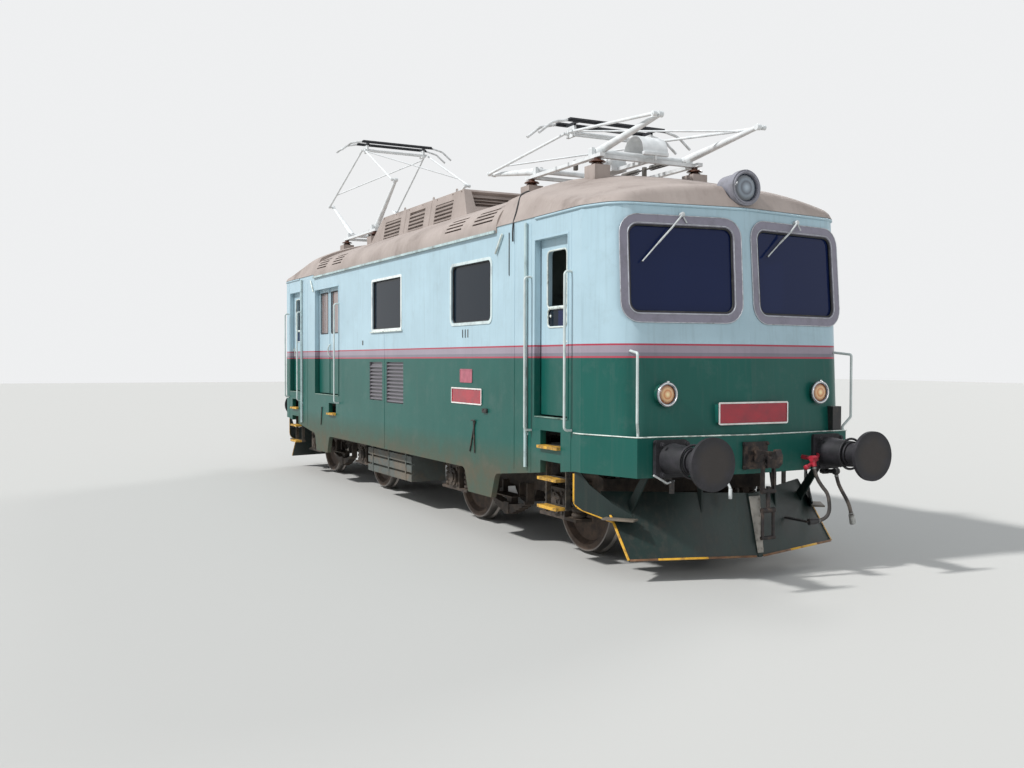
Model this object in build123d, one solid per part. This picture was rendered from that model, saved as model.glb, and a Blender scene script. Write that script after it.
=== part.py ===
from build123d import *
import os
from math import atan2, cos, degrees, radians, sin, sqrt, tan

# Four-axle electric locomotive with a cab at each end, two bogies and two diamond pantographs.
# Millimetres, +X towards the leading cab, +Y to its left, +Z up, z = 0 at the wheel flange tips.

# Overall sizes
LENGTH_OVER_BUFFERS = 12600
BUFFER_REACH = 570
HALF_WIDTH = 1375
WALL = 60
SKIN = 40
FIT = 0.3
RUNNING_GAP = 8
BUFFER_FACE_X = LENGTH_OVER_BUFFERS / 2
END_X = BUFFER_FACE_X - BUFFER_REACH

# Wheels and rails
FLANGE_HEIGHT = 28
WHEEL_DIAMETER = 1000
BACK_TO_BACK = 1360
TYRE_WIDTH = 135
AXLE_DIAMETER = 180
JOURNAL_DIAMETER = 130
JOURNAL_END_Y = 1075
WHEELBASE = 2500
BOGIE_TO_END = 2800
BOGIE_X = END_X - BOGIE_TO_END

# Heights of the body, above the flange tips
SKIRT_MID_Z = 738
SKIRT_END_Z = 915
SKIRT_RISE_X = (END_X - 2410, END_X - 790)
TONGUE_Z = 478
TONGUE_FILLET = 90
LEDGE_Z = 1260
FLOOR_TOP_Z = 1373
FLOOR_THICKNESS = 40
MID_GUTTER_Z = 3228
CAB_GUTTER_Z = 3290

# Plan of the body ends, set back from where the buffers start
CAB_JOINT_X = END_X - 1630
TAPER_X = END_X - 680
BEAM_CORNER_X = END_X - 70
BEAM_CORNER_Y = HALF_WIDTH - 195
BEAM_CREASE_X = END_X + 30
FRONT_CREASE_X = END_X + 10
FRONT_VEE = 0.139
FRONT_LEAN = 0.07
FRONT_CORNER_RADIUS = 260

# Cab doors and the two leaves of each service door
DOOR_REAR_X = CAB_JOINT_X + 84
DOOR_WIDTH = 631
DOOR_FRONT_X = DOOR_REAR_X + DOOR_WIDTH
DOOR_TOP_Z = 3063
DOOR_LAP = 22
DOOR_THICKNESS = 45
SERVICE_DOOR_X = (808 - CAB_JOINT_X, 2038 - CAB_JOINT_X)
SERVICE_MEETING_X = 1380 - CAB_JOINT_X
SERVICE_DOOR_TOP_Z = 3028
SERVICE_PANE = 390
SERVICE_PANE_Z = (2334, 2970)
MEETING_STILE = 88
DOOR_FOOT_GAP = 24
HINGE_BARREL = 30
HINGE_PIN = 14
DOOR_WINDOW_Z = (2238, 2950)
DOOR_SASH_Z = 2411

# Windows of the machine room: x from, x to, z from, z to, corner radius
SIDE_WINDOWS = (
    (-515, 569, 2331, 2978, 20),
    (CAB_JOINT_X - 1922, CAB_JOINT_X - 890, 2331, 2968, 60),
)
WINDOW_RIM = 32
RIM_PROUD = 8
PANE = 12

# Windscreens, measured along the slanted front from the centre crease
SCREEN_INNER = 136
SCREEN_OUTER = 1160
SCREEN_BOTTOM_Z = 2330
SCREEN_TOP_Z = 3098
SCREEN_RADIUS = 90
SCREEN_RIM = 88

# Steps: holes and notches in the skirt, boards on their lower edges and on hangers
STEP_X = (CAB_JOINT_X + 200, CAB_JOINT_X + 590)
STEP_LEVELS = (1113, 816, 551)
STEP_BOARD = 28
STEP_OUT = 42
STEP_HANGER = 14
STEP_HOLE_TOP_Z = 1252
STEP_NOTCH_TOP_Z = 966
SERVICE_STEP_X = (1540 - CAB_JOINT_X, 1910 - CAB_JOINT_X)
SERVICE_STEP_Z = 1106

# Side louvres: x from, x to, z from, z to
SIDE_LOUVRES = ((-640, -134, 1374, 1891), (37, 649, 1358, 1891))
LOUVRE_PITCH = 48
LOUVRE_DEPTH = 30
SLAT = 8
SLAT_TILT = 40

# Roof: straight edges above the gutters, round shoulders and one wide arc
ROOF_EAVE = 10
ROOF_EDGE = 45
SHOULDER_RADIUS = 280
MID_CROWN_Z = 3838
CAB_ROOF_REAR_X = CAB_JOINT_X - 750
CAB_CEILING_Z = 3600
CAB_DOME_LEAN = 25
CAB_DOME_FILLET = 110

# Slots in the roof's shoulders: x from, x to, on both sides of the middle; slot heights
SHOULDER_SLOTS = (
    (CAB_ROOF_REAR_X - 1390, CAB_ROOF_REAR_X - 930),
    (CAB_ROOF_REAR_X - 630, CAB_ROOF_REAR_X - 130),
)
SLOT_LOW_Z = 3366
SLOT_PITCH = 43
SLOT_HEIGHT = 19
SLOT_COUNT = 4

# Roof hood: its foot and its top as x from, x to, half width and height, and its louvres,
# with x measured from its rear end, which stands clear of the rear pantograph
HOOD_REAR_X = 840 - CAB_ROOF_REAR_X
HOOD_FOOT = (0, 3660, 720, 3718)
HOOD_TOP = (435, 3425, 656, 4093)
HOOD_LOUVRES = ((580, 1240, 3738, 3998), (1590, 2170, 3728, 4018), (2550, 3145, 3734, 3994))
HOOD_FRONT_LOUVRE = (560, 3858, 4068)
HOOD_PITCH = 52

# Buffers and draw gear
BUFFER_SPACING = 1750
BUFFER_Z = 1078
BUFFER_PLATE = 324
BUFFER_PLATE_THICKNESS = 45
BUFFER_BARREL_DIAMETER = 270
BUFFER_ROD_DIAMETER = 200
BUFFER_HEAD_DIAMETER = 440
BUFFER_HEAD_THICKNESS = 34
HOOK_REACH = 330
COUPLING_PIN_X = END_X + 210
COUPLING_PIN = 44

# Headlamps
LAMP_Y = 866
LAMP_Z = 1624
LAMP_DIAMETER = 215
LAMP_NECK = 185
ROOF_LAMP_DIAMETER = 320
ROOF_LAMP_Z = 3467
ROOF_LAMP_DEPTH = 260
ROOF_LAMP_FACE_X = FRONT_CREASE_X - 120

# Snow plough: nose and corner of the lower and of the upper edge
PLOUGH_LOW_NOSE_X = END_X + 110
PLOUGH_LOW_CORNER_X = END_X - 225
PLOUGH_TOP_NOSE_X = END_X + 10
PLOUGH_TOP_CORNER_X = END_X - 690
PLOUGH_CORNER_Y = BEAM_CORNER_Y - 20
PLOUGH_BOTTOM_Z = 185
PLOUGH_TOP_Z = 738
PLOUGH_PLATE = 14
WING_TOE = 35.5

# Pantographs: centre x and angle of the lower arms above level, at rest
PANTOGRAPH_FRONT = (CAB_ROOF_REAR_X, 7.0)
PANTOGRAPH_REAR = (-CAB_ROOF_REAR_X, 31.5)
LOWER_ARM = 1150
UPPER_ARM = 1700
ARM_RATIO = 0.81
BASE_PIVOT_X = 600
BASE_PIVOT_Z = 4030
LOWER_ARM_Y = 570
KNUCKLE_Y = 636
APEX_Y = 550
KNUCKLE_PIN = 20
APEX_TUBE = 30
YOKE_PLAY = 12
ARM_FOOT_DIAMETER = 88
ARM_TIP_DIAMETER = 50
INSULATOR_X = 700
POST_TOP_Z = 3868
INSULATOR_Y = 600
INSULATOR_DIAMETER = 170
BASE_FRAME_Z = 3952

# Cabinets below the floor, with heavy bars along their fronts
CABINET_Y = (780, 1250)
CABINET_Z = (360, 800)
CABINET_BARS = 4
BAR_GAP = 30
BAR_DEPTH = 40

# Bogie
FRAME_Y = (890, 935)
AXLE_BOX_Y = (941, 1120)
SPRING_OFFSET = 270
SPRING_DIAMETER = 150
SPRING_SEAT_Z = 735
SPRING_TURNS = 6
LEAF_LENGTHS = (860, 860, 720, 580, 440, 300)
LEAF_THICKNESS = 16
LEAF_WIDTH = 110
LEAF_CAMBER = 70
LEAF_TOP_Z = 360
PIVOT_DIAMETER = 180
BOLSTER_TOP_Z = 905
SHOE_BORE = 1018

# Air hoses of the leading end: route points, with x measured from where the buffers start
HOSE_DIAMETER = 34
COCK_A_Z = 1040
COCK_B_Z = 880
SPARE_COCK_Z = 868
HOSE_A = (
    (132, 600, 962),
    (145, 604, 880),
    (175, 650, 785),
    (195, 724, 700),
    (173, 752, 478),
    (150, 628, 468),
)
HOSE_B = (
    (69, 930, 867),
    (85, 930, 800),
    (120, 945, 725),
    (150, 975, 650),
    (160, 1010, 575),
    (155, 1035, 500),
)

# Worked out from the sizes above
AXLE_Z = FLANGE_HEIGHT + WHEEL_DIAMETER / 2
BEAM_BACK_X = BEAM_CORNER_X - WALL - 140
INNER_Y = HALF_WIDTH - WALL
FLOOR_BOTTOM_Z = FLOOR_TOP_Z - FLOOR_THICKNESS
BUFFER_Y = BUFFER_SPACING / 2

os.makedirs("parts", exist_ok=True)


def block(x0, x1, y0, y1, z0, z1):
    """Box between two corners."""
    size = Box(abs(x1 - x0), abs(y1 - y0), abs(z1 - z0))
    return Pos((x0 + x1) / 2, (y0 + y1) / 2, (z0 + z1) / 2) * size


def rod(start, end, diameter, end_diameter=None):
    """Round bar from one point to another, tapered when an end diameter is given."""
    a, b = Vector(*start), Vector(*end)
    plane = Plane(origin=a, z_dir=(b - a).normalized())
    length = (b - a).length
    if end_diameter is None:
        return extrude(plane * Circle(diameter / 2), length)
    top = plane.offset(length)
    return loft([plane * Circle(diameter / 2), top * Circle(end_diameter / 2)])


def bent_rod(points, radius, diameter):
    """Round bar bent to one radius at each corner of its line."""
    line = FilletPolyline(*points, radius=radius)
    start = Plane(origin=line @ 0, z_dir=line % 0)
    return sweep(start * Circle(diameter / 2), path=line)


def side_plate(points, y0, y1):
    """Plate with an outline in the x-z plane, between two y values."""
    face = Plane.XZ * make_face(Polyline(*points, close=True))
    return Pos(0, max(y0, y1), 0) * extrude(face, abs(y1 - y0))


def both_sides(shape):
    """The shape and its mirror image across the middle of the vehicle."""
    return [shape, mirror(shape, about=Plane.XZ)]


def both_ends(shape):
    """The shape and its copy at the other end, turned half round."""
    return [shape, Rot(0, 0, 180) * shape]


def four_corners(shape):
    """The shape at the four corners of the vehicle, as mirror images."""
    return both_sides(shape) + [mirror(s, about=Plane.YZ) for s in both_sides(shape)]


def write(name, shapes):
    """Write one node to its own file."""
    solids = []
    for shape in shapes:
        solids += list(shape.solids())
    whole = solids[0] if len(solids) == 1 else Compound(children=solids)
    whole.label = name
    export_step(whole, f"parts/{name}.step")


def skirt_rise_z(x):
    """Lower edge of the skirt where it rises towards the body end."""
    x0, x1 = SKIRT_RISE_X
    return SKIRT_MID_Z + (SKIRT_END_Z - SKIRT_MID_Z) * (x - x0) / (x1 - x0)


def front_x(y, z):
    """x of the slanted front panel at a place above the ledge."""
    return FRONT_CREASE_X - FRONT_VEE * abs(y) - FRONT_LEAN * (z - LEDGE_Z)


def upper_plan(z, inset=0, rear=CAB_JOINT_X):
    """Plan of the cab above the ledge: tapered sides, round corners and a vee front."""
    crease = front_x(0, z) - inset
    half = HALF_WIDTH - inset
    taper = (HALF_WIDTH - BEAM_CORNER_Y) / (BEAM_CORNER_X - TAPER_X)
    corner_x = (crease - FRONT_VEE * (half + taper * TAPER_X)) / (1 - FRONT_VEE * taper)
    corner_y = half - taper * (corner_x - TAPER_X)
    points = [(rear, -half), (TAPER_X, -half), (corner_x, -corner_y), (crease, 0)]
    points += [(corner_x, corner_y), (TAPER_X, half), (rear, half)]
    face = make_face(Polyline(*points, close=True))
    corners = [v for v in face.vertices() if abs(v.X - corner_x) < 1]
    return Pos(0, 0, z) * fillet(corners, FRONT_CORNER_RADIUS - inset)


def skirt_plan(inset=0, rear=CAB_JOINT_X):
    """Plan of the body end below the ledge, with sharp corners."""
    half = HALF_WIDTH - inset
    corner_y = BEAM_CORNER_Y - inset
    corner_x = BEAM_CORNER_X - inset
    points = [(rear, -half), (TAPER_X, -half), (corner_x, -corner_y), (BEAM_CREASE_X - inset, 0)]
    points += [(corner_x, corner_y), (TAPER_X, half), (rear, half)]
    return make_face(Polyline(*points, close=True))


def screen_prism(grow, depth_out, depth_in, radius):
    """Window-shaped prism square to the right half of the slanted front."""
    mid_y = -(SCREEN_INNER + SCREEN_OUTER) / 2
    mid_z = (SCREEN_BOTTOM_Z + SCREEN_TOP_Z) / 2
    normal = Vector(1, -FRONT_VEE, FRONT_LEAN).normalized()
    across = Vector(-FRONT_VEE, -1, 0).normalized()
    plane = Plane(origin=(front_x(mid_y, mid_z), mid_y, mid_z), x_dir=across, z_dir=normal)
    width = SCREEN_OUTER - SCREEN_INNER + 2 * grow
    height = SCREEN_TOP_Z - SCREEN_BOTTOM_Z + 2 * grow
    outline = plane.offset(-depth_in) * RectangleRounded(width, height, radius)
    return extrude(outline, depth_in + depth_out)


def crown_radius(inset=0):
    """Radius of the roof's wide arc, which runs tangent into both shoulders."""
    shoulder = SHOULDER_RADIUS - inset
    across = HALF_WIDTH + ROOF_EAVE - SHOULDER_RADIUS
    rise = MID_CROWN_Z - inset - MID_GUTTER_Z - ROOF_EDGE
    return (across ** 2 + rise ** 2 - shoulder ** 2) / (2 * (rise - shoulder))


def roof_z(y):
    """Height of the machine room's roof at a distance from the middle, inside the shoulders."""
    radius = crown_radius()
    return MID_CROWN_Z - radius + sqrt(radius ** 2 - y ** 2)


def roof_section(x, inset, low_z):
    """Roof section across the vehicle: flat underside, straight edges, round shoulders and a wide arc."""
    radius, shoulder = crown_radius(inset), SHOULDER_RADIUS - inset
    across, edge_z = HALF_WIDTH + ROOF_EAVE - SHOULDER_RADIUS, MID_GUTTER_Z + ROOF_EDGE
    centre_z = MID_CROWN_Z - inset - radius
    turn = atan2(edge_z - centre_z, across)
    half = across + shoulder
    bend = (across + shoulder * cos(turn / 2), edge_z + shoulder * sin(turn / 2))
    join = (across + shoulder * cos(turn), edge_z + shoulder * sin(turn))
    outline = Line((-half, low_z), (half, low_z)) + Line((half, low_z), (half, edge_z))
    outline += ThreePointArc((half, edge_z), bend, join)
    outline += ThreePointArc(join, (0, MID_CROWN_Z - inset), (-join[0], join[1]))
    outline += ThreePointArc((-join[0], join[1]), (-bend[0], bend[1]), (-half, edge_z))
    outline += Line((-half, edge_z), (-half, low_z))
    return Plane(origin=(x, 0, 0), x_dir=(0, 1, 0), z_dir=(1, 0, 0)) * make_face(outline)


def arch_face(x, half, low_z, edge_z, crown_z):
    """Section across the vehicle with upright sides below one arc."""
    outline = Line((-half, low_z), (half, low_z)) + Line((half, low_z), (half, edge_z))
    outline += ThreePointArc((half, edge_z), (0, crown_z), (-half, edge_z))
    outline += Line((-half, edge_z), (-half, low_z))
    return Plane(origin=(x, 0, 0), x_dir=(0, 1, 0), z_dir=(1, 0, 0)) * make_face(outline)


def louvre(width, height, pitch, depth):
    """Recess and slats of a louvre on the right side, centred on the origin, outer face at y = 0."""
    recess = block(-width / 2, width / 2, -60, depth, -height / 2, height / 2)
    slats = []
    for i in range(int(height / pitch)):
        z = pitch * (i + 0.5) - height / 2
        slat = block(-width / 2, width / 2, -depth * 0.52, depth * 0.52, -SLAT / 2, SLAT / 2)
        slats.append(Pos(0, depth / 2, z) * (Rot(SLAT_TILT, 0, 0) * slat))
    return recess, slats


# Underframe: floor plate, sole bars, cross beams and the two bogie pivots
def underframe():
    floor = block(-CAB_JOINT_X, CAB_JOINT_X, -INNER_Y, INNER_Y, FLOOR_BOTTOM_Z, FLOOR_TOP_Z)
    cab_floor = extrude(upper_plan(FLOOR_BOTTOM_Z, WALL + FRONT_LEAN * FLOOR_THICKNESS), FLOOR_THICKNESS)
    body = floor + cab_floor + mirror(cab_floor, about=Plane.YZ)
    for y in (-700, 700):
        sole_bar = block(-BEAM_BACK_X, BEAM_BACK_X, y - 60, y + 60, 1130, FLOOR_BOTTOM_Z)
        groove = block(-BEAM_BACK_X, BEAM_BACK_X, y - 60, y - 30, 1160, FLOOR_BOTTOM_Z - 30)
        body += sole_bar - groove
    for x in (-1500, -500, 500, 1500):
        body += block(x - 40, x + 40, -1200, 1200, 1180, FLOOR_BOTTOM_Z)
    for x in (-BOGIE_X, BOGIE_X):
        body += block(x - 260, x + 260, -900, 900, 1100, FLOOR_BOTTOM_Z)
        body += rod((x, 0, BOLSTER_TOP_Z - 190), (x, 0, 1100), PIVOT_DIAMETER)
        for y in (-650, 650):
            body += block(x - 110, x + 110, y - 90, y + 90, BOLSTER_TOP_Z + FIT, 1100)
    for beam in both_ends(buffer_beam()):
        body += beam
    return body


# Buffer beams: heavy plates behind the end skirts that carry buffers and draw gear
def buffer_beam():
    outline = skirt_plan(WALL, BEAM_BACK_X)
    beam = extrude(Pos(0, 0, SKIRT_END_Z + 15) * outline, LEDGE_Z - SKIRT_END_Z - 60)
    inside = BEAM_CORNER_Y - 70
    limits = block(TAPER_X, BUFFER_FACE_X, -inside, inside, 0, 2000)
    return (beam & limits) + block(BEAM_CORNER_X - 220, BEAM_CORNER_X - 110, -760, 760, 1150, FLOOR_BOTTOM_Z)


def cab_upper():
    """Outer form of the cab above the ledge."""
    return loft([upper_plan(LEDGE_Z), upper_plan(CAB_GUTTER_Z)], ruled=True)


# Cab shell: hollow end of the body with its door openings, windscreen openings and step holes
def cab_shell():
    outer = cab_upper()
    inner_low = upper_plan(LEDGE_Z - 1, WALL, CAB_JOINT_X - 1)
    inner_high = upper_plan(CAB_GUTTER_Z + 1, WALL, CAB_JOINT_X - 1)
    shell = outer - loft([inner_low, inner_high], ruled=True)
    skirt = extrude(Pos(0, 0, SKIRT_END_Z) * skirt_plan(), LEDGE_Z - SKIRT_END_Z)
    inner_plan = Pos(0, 0, SKIRT_END_Z - 1) * skirt_plan(WALL, CAB_JOINT_X - 1)
    hollow = extrude(inner_plan, LEDGE_Z - SKIRT_END_Z - 20)
    opening = extrude(Pos(0, 0, -30) * upper_plan(LEDGE_Z, WALL + 5, CAB_JOINT_X - 1), 40)
    shell += skirt - hollow - opening
    joint_z = skirt_rise_z(CAB_JOINT_X)
    apron = [(CAB_JOINT_X, joint_z), (SKIRT_RISE_X[1], SKIRT_END_Z), (CAB_JOINT_X, SKIRT_END_Z)]
    for side in both_sides(side_plate(apron, -HALF_WIDTH, -INNER_Y)):
        shell += side
    door_hole = block(DOOR_REAR_X, DOOR_FRONT_X, -HALF_WIDTH - 5, -INNER_Y + 5, FLOOR_TOP_Z, DOOR_TOP_Z)
    cuts = both_sides(door_hole) + both_sides(screen_prism(0, 60, 120, SCREEN_RADIUS))
    x0, x1 = STEP_X
    for z0, z1 in ((joint_z - 1, STEP_NOTCH_TOP_Z), (STEP_LEVELS[0] - STEP_BOARD, STEP_HOLE_TOP_Z)):
        cuts += both_sides(block(x0, x1, -HALF_WIDTH - 5, -INNER_Y + 5, z0, z1))
    for cut in cuts:
        shell -= cut
    return shell


# Hinges: lugs on the wall with pins that enter the ends of the door's barrel
def hinge_lugs(x, y, z0, z1):
    lugs = []
    inward = 1 if y < 0 else -1
    wall_y = -inward * INNER_Y
    for z, way in ((z0, -1), (z1, 1)):
        near = z + way * FIT
        plate = block(x - 20, x + 20, wall_y, y + inward * 20, near, near + way * 20)
        pin = rod((x, y, near + way * 5), (x, y, z - way * 40), HINGE_PIN)
        lugs.append(plate + pin)
    return lugs


def door_leaf(x_from, x_to, z_top, window, hinge_x):
    """Door leaf of the right side, closed, with its hinge barrel and window hole."""
    y0, y1 = -INNER_Y + RUNNING_GAP, -INNER_Y + RUNNING_GAP + DOOR_THICKNESS
    z0, z1 = FLOOR_TOP_Z + DOOR_FOOT_GAP, z_top + DOOR_LAP
    leaf = block(x_from, x_to, y0, y1, z0, z1)
    wx0, wx1, wz0, wz1, radius = window
    hole = block(wx0, wx1, y0 - 1, y1 + 1, wz0, wz1)
    leaf -= fillet(hole.edges().filter_by(Axis.Y), radius)
    hinge_y = (y0 + y1) / 2
    barrel = rod((hinge_x, hinge_y, z0), (hinge_x, hinge_y, z1), HINGE_BARREL)
    leaf += barrel
    leaf -= rod((hinge_x, hinge_y, z0 - 1), (hinge_x, hinge_y, z0 + 45), HINGE_PIN + 2 * FIT)
    leaf -= rod((hinge_x, hinge_y, z1 - 45), (hinge_x, hinge_y, z1 + 1), HINGE_PIN + 2 * FIT)
    return leaf


def cab_door():
    """Cab door leaf with a sash bar and a closed panel below it."""
    half = DOOR_WIDTH / 2
    mid = DOOR_REAR_X + half
    low, high = DOOR_WINDOW_Z
    window = (mid - half * 0.57, mid + half * 0.57, low, high, 40)
    hinge_x = DOOR_REAR_X - DOOR_LAP
    leaf = door_leaf(hinge_x, DOOR_FRONT_X + DOOR_LAP, DOOR_TOP_Z, window, hinge_x)
    y0 = -INNER_Y + RUNNING_GAP
    leaf += block(mid - half * 0.6, mid + half * 0.6, y0 + 15, y0 + 30, DOOR_SASH_Z - 18, DOOR_SASH_Z + 18)
    leaf += block(mid - half * 0.6, mid + half * 0.6, y0 + 17, y0 + 28, low - 5, DOOR_SASH_Z)
    return leaf


def service_door(outer_x, way):
    """One leaf of the double service door, from its outer hinge to the meeting line."""
    hinge_x = outer_x - way * DOOR_LAP
    edge_x = SERVICE_MEETING_X - way * RUNNING_GAP / 2
    pane_x = SERVICE_MEETING_X - way * MEETING_STILE
    far_x = pane_x - way * SERVICE_PANE
    low, high = SERVICE_PANE_Z
    window = (min(pane_x, far_x), max(pane_x, far_x), low, high, 12)
    leaf = door_leaf(min(hinge_x, edge_x), max(hinge_x, edge_x), SERVICE_DOOR_TOP_Z, window, hinge_x)
    y0 = -INNER_Y + RUNNING_GAP
    leaf += block(min(pane_x, far_x) - 5, max(pane_x, far_x) + 5, y0 + 20, y0 + 28, low - 5, high + 5)
    return leaf


def door_hinge_lugs(hinge_x, z_top):
    """Lugs and pins of one right-side door."""
    y = -INNER_Y + RUNNING_GAP + DOOR_THICKNESS / 2
    return hinge_lugs(hinge_x, y, FLOOR_TOP_Z + DOOR_FOOT_GAP, z_top + DOOR_LAP)


# Side wall: one sheet between the cabs, with a skirt that rises towards the ends
def side_wall():
    joint_z = skirt_rise_z(CAB_JOINT_X)
    x = BOGIE_X
    half = [(0, SKIRT_MID_Z), (x - 390, SKIRT_MID_Z), (x - 290, TONGUE_Z), (x + 290, TONGUE_Z)]
    half += [(SKIRT_RISE_X[0], SKIRT_MID_Z), (CAB_JOINT_X, joint_z), (CAB_JOINT_X, CAB_GUTTER_Z)]
    half += [(CAB_ROOF_REAR_X, CAB_GUTTER_Z), (CAB_ROOF_REAR_X, MID_GUTTER_Z), (0, MID_GUTTER_Z)]
    right = side_plate(half, -HALF_WIDTH, -INNER_Y)
    inner_corners = [e for e in right.edges().filter_by(Axis.Y) if abs(e.center().Z - SKIRT_MID_Z) < 1
                     and x - 400 < e.center().X < x + 400]
    right = fillet(inner_corners, TONGUE_FILLET)
    wall = right + mirror(right, about=Plane.YZ)
    for x0, x1, z0, z1, radius in SIDE_WINDOWS:
        hole = block(x0, x1, -HALF_WIDTH - 5, -INNER_Y + 5, z0, z1)
        wall -= fillet(hole.edges().filter_by(Axis.Y), radius)
    x0, x1 = SERVICE_DOOR_X
    wall -= block(x0, x1, -HALF_WIDTH - 5, -INNER_Y + 5, FLOOR_TOP_Z, SERVICE_DOOR_TOP_Z)
    x0, x1 = SERVICE_STEP_X
    wall -= block(x0, x1, -HALF_WIDTH - 5, -INNER_Y + 5, SERVICE_STEP_Z - STEP_BOARD, SERVICE_STEP_Z + 150)
    for x0, x1, z0, z1 in SIDE_LOUVRES:
        place = Pos((x0 + x1) / 2, -HALF_WIDTH, (z0 + z1) / 2)
        recess, slats = louvre(x1 - x0, z1 - z0, LOUVRE_PITCH, LOUVRE_DEPTH)
        wall -= place * recess
        for slat in slats:
            wall += place * slat
    for hinge_x in (SERVICE_DOOR_X[0] - DOOR_LAP, SERVICE_DOOR_X[1] + DOOR_LAP):
        for lug in door_hinge_lugs(hinge_x, SERVICE_DOOR_TOP_Z):
            wall += lug
    return wall


# Posts that stand on the roofs below the pantograph insulators
def insulator_post(x, low_z):
    return block(x - 100, x + 100, -INSULATOR_Y - 90, -INSULATOR_Y + 90, low_z, POST_TOP_Z)


# Roofs: an arched skin over the machine room and a domed shell over each cab
def mid_roof():
    roof = extrude(roof_section(0, 0, MID_GUTTER_Z), CAB_ROOF_REAR_X, both=True)
    roof -= extrude(roof_section(0, SKIN, MID_GUTTER_Z - 50), CAB_ROOF_REAR_X + 1, both=True)
    for x0, x1 in SHOULDER_SLOTS:
        for i in range(SLOT_COUNT):
            z = SLOT_LOW_Z + SLOT_PITCH * i
            for slot in four_corners(block(x0, x1, -HALF_WIDTH - 50, -HALF_WIDTH + 200, z, z + SLOT_HEIGHT)):
                roof -= slot
    for centre in (PANTOGRAPH_FRONT[0] - INSULATOR_X, PANTOGRAPH_REAR[0] + INSULATOR_X):
        for post in both_sides(insulator_post(centre, roof_z(INSULATOR_Y + 90) - 10)):
            roof += post
    return roof


# Crown of the cab roof: x behind the front crease, crown height, drop of the arc over the half width
CAB_CROWN = (
    (2390, 3848, 400),
    (2060, 3861, 410),
    (1350, 3745, 370),
    (700, 3600, 300),
    (330, 3505, 220),
    (60, 3440, 160),
)


def cab_crown_face(back, crown_z, drop):
    """Section under the crown surface, wider than the roof."""
    half = HALF_WIDTH + 100
    return arch_face(FRONT_CREASE_X - back, half, CAB_GUTTER_Z - 100, crown_z - drop, crown_z)


def cab_roof():
    crown = loft([cab_crown_face(*station) for station in CAB_CROWN])
    plan = upper_plan(CAB_GUTTER_Z, -ROOF_EAVE, 0)
    roof_limits = block(CAB_ROOF_REAR_X, BUFFER_FACE_X, -HALF_WIDTH - 50, HALF_WIDTH + 50, CAB_GUTTER_Z, 4200)
    dome = extrude(plan, 700, taper=CAB_DOME_LEAN) & crown & roof_limits
    rim = [e for e in dome.edges() if e.geom_type == GeomType.BSPLINE and e.center().X > CAB_ROOF_REAR_X + 1]
    dome = fillet(rim, CAB_DOME_FILLET)
    ceiling = arch_face(CAB_ROOF_REAR_X - 60, INNER_Y, CAB_GUTTER_Z - 60, CAB_GUTTER_Z, CAB_CEILING_Z)
    dome -= extrude(ceiling, 1500)
    for post in both_sides(insulator_post(PANTOGRAPH_FRONT[0] + INSULATOR_X, CAB_CEILING_Z + 40)):
        dome += post
    return dome


def hood_outline(z):
    """Level outline of the hood, whose four walls lean inwards."""
    share = (z - HOOD_FOOT[3]) / (HOOD_TOP[3] - HOOD_FOOT[3])
    x0, x1, half = [foot + (top - foot) * share for foot, top in zip(HOOD_FOOT[:3], HOOD_TOP[:3])]
    return Pos(HOOD_REAR_X + (x0 + x1) / 2, 0, z) * Rectangle(x1 - x0, 2 * half)


def roof_hood():
    hood = loft([hood_outline(HOOD_FOOT[3] - 80), hood_outline(HOOD_TOP[3])], ruled=True)
    rise = HOOD_TOP[3] - HOOD_FOOT[3]
    lean = degrees(atan2(HOOD_FOOT[2] - HOOD_TOP[2], rise))
    for x0, x1, z0, z1 in HOOD_LOUVRES:
        z = (z0 + z1) / 2
        y = HOOD_FOOT[2] - (HOOD_FOOT[2] - HOOD_TOP[2]) * (z - HOOD_FOOT[3]) / rise
        place = Pos(HOOD_REAR_X + (x0 + x1) / 2, -y, z) * Rot(-lean, 0, 0)
        recess, slats = louvre(x1 - x0, z1 - z0, HOOD_PITCH, LOUVRE_DEPTH)
        hood = cut_louvre(hood, place, recess, slats)
    half, z0, z1 = HOOD_FRONT_LOUVRE
    z = (z0 + z1) / 2
    lean = degrees(atan2(HOOD_FOOT[1] - HOOD_TOP[1], rise))
    x = HOOD_FOOT[1] - (HOOD_FOOT[1] - HOOD_TOP[1]) * (z - HOOD_FOOT[3]) / rise
    recess, slats = louvre(2 * half, (z1 - z0) / cos(radians(lean)), HOOD_PITCH, 2 * LOUVRE_DEPTH)
    place = Pos(HOOD_REAR_X + x, 0, z) * Rot(0, 0, 90) * Rot(-lean, 0, 0)
    hood -= place * recess
    for slat in slats:
        hood += place * slat
    return hood - extrude(roof_section(0, 0, MID_GUTTER_Z), 4000, both=True)


def cut_louvre(body, place, recess, slats):
    """The body with a louvre cut into both of its sides."""
    for side in both_sides(place * recess):
        body -= side
    for slat in slats:
        for side in both_sides(place * slat):
            body += side
    return body


# Panes and frames of the fixed windows
def screen_pane():
    return screen_prism(-FIT, -20, 20 + PANE, SCREEN_RADIUS - FIT)


def screen_frame():
    ring = screen_prism(SCREEN_RIM, RIM_PROUD, 0, SCREEN_RADIUS + SCREEN_RIM)
    return ring - screen_prism(0, 60, 60, SCREEN_RADIUS)


def side_pane(window):
    x0, x1, z0, z1, radius = window
    y0 = -HALF_WIDTH + 25
    pane = block(x0 + FIT, x1 - FIT, y0, y0 + PANE, z0 + FIT, z1 - FIT)
    return fillet(pane.edges().filter_by(Axis.Y), radius)


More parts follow.
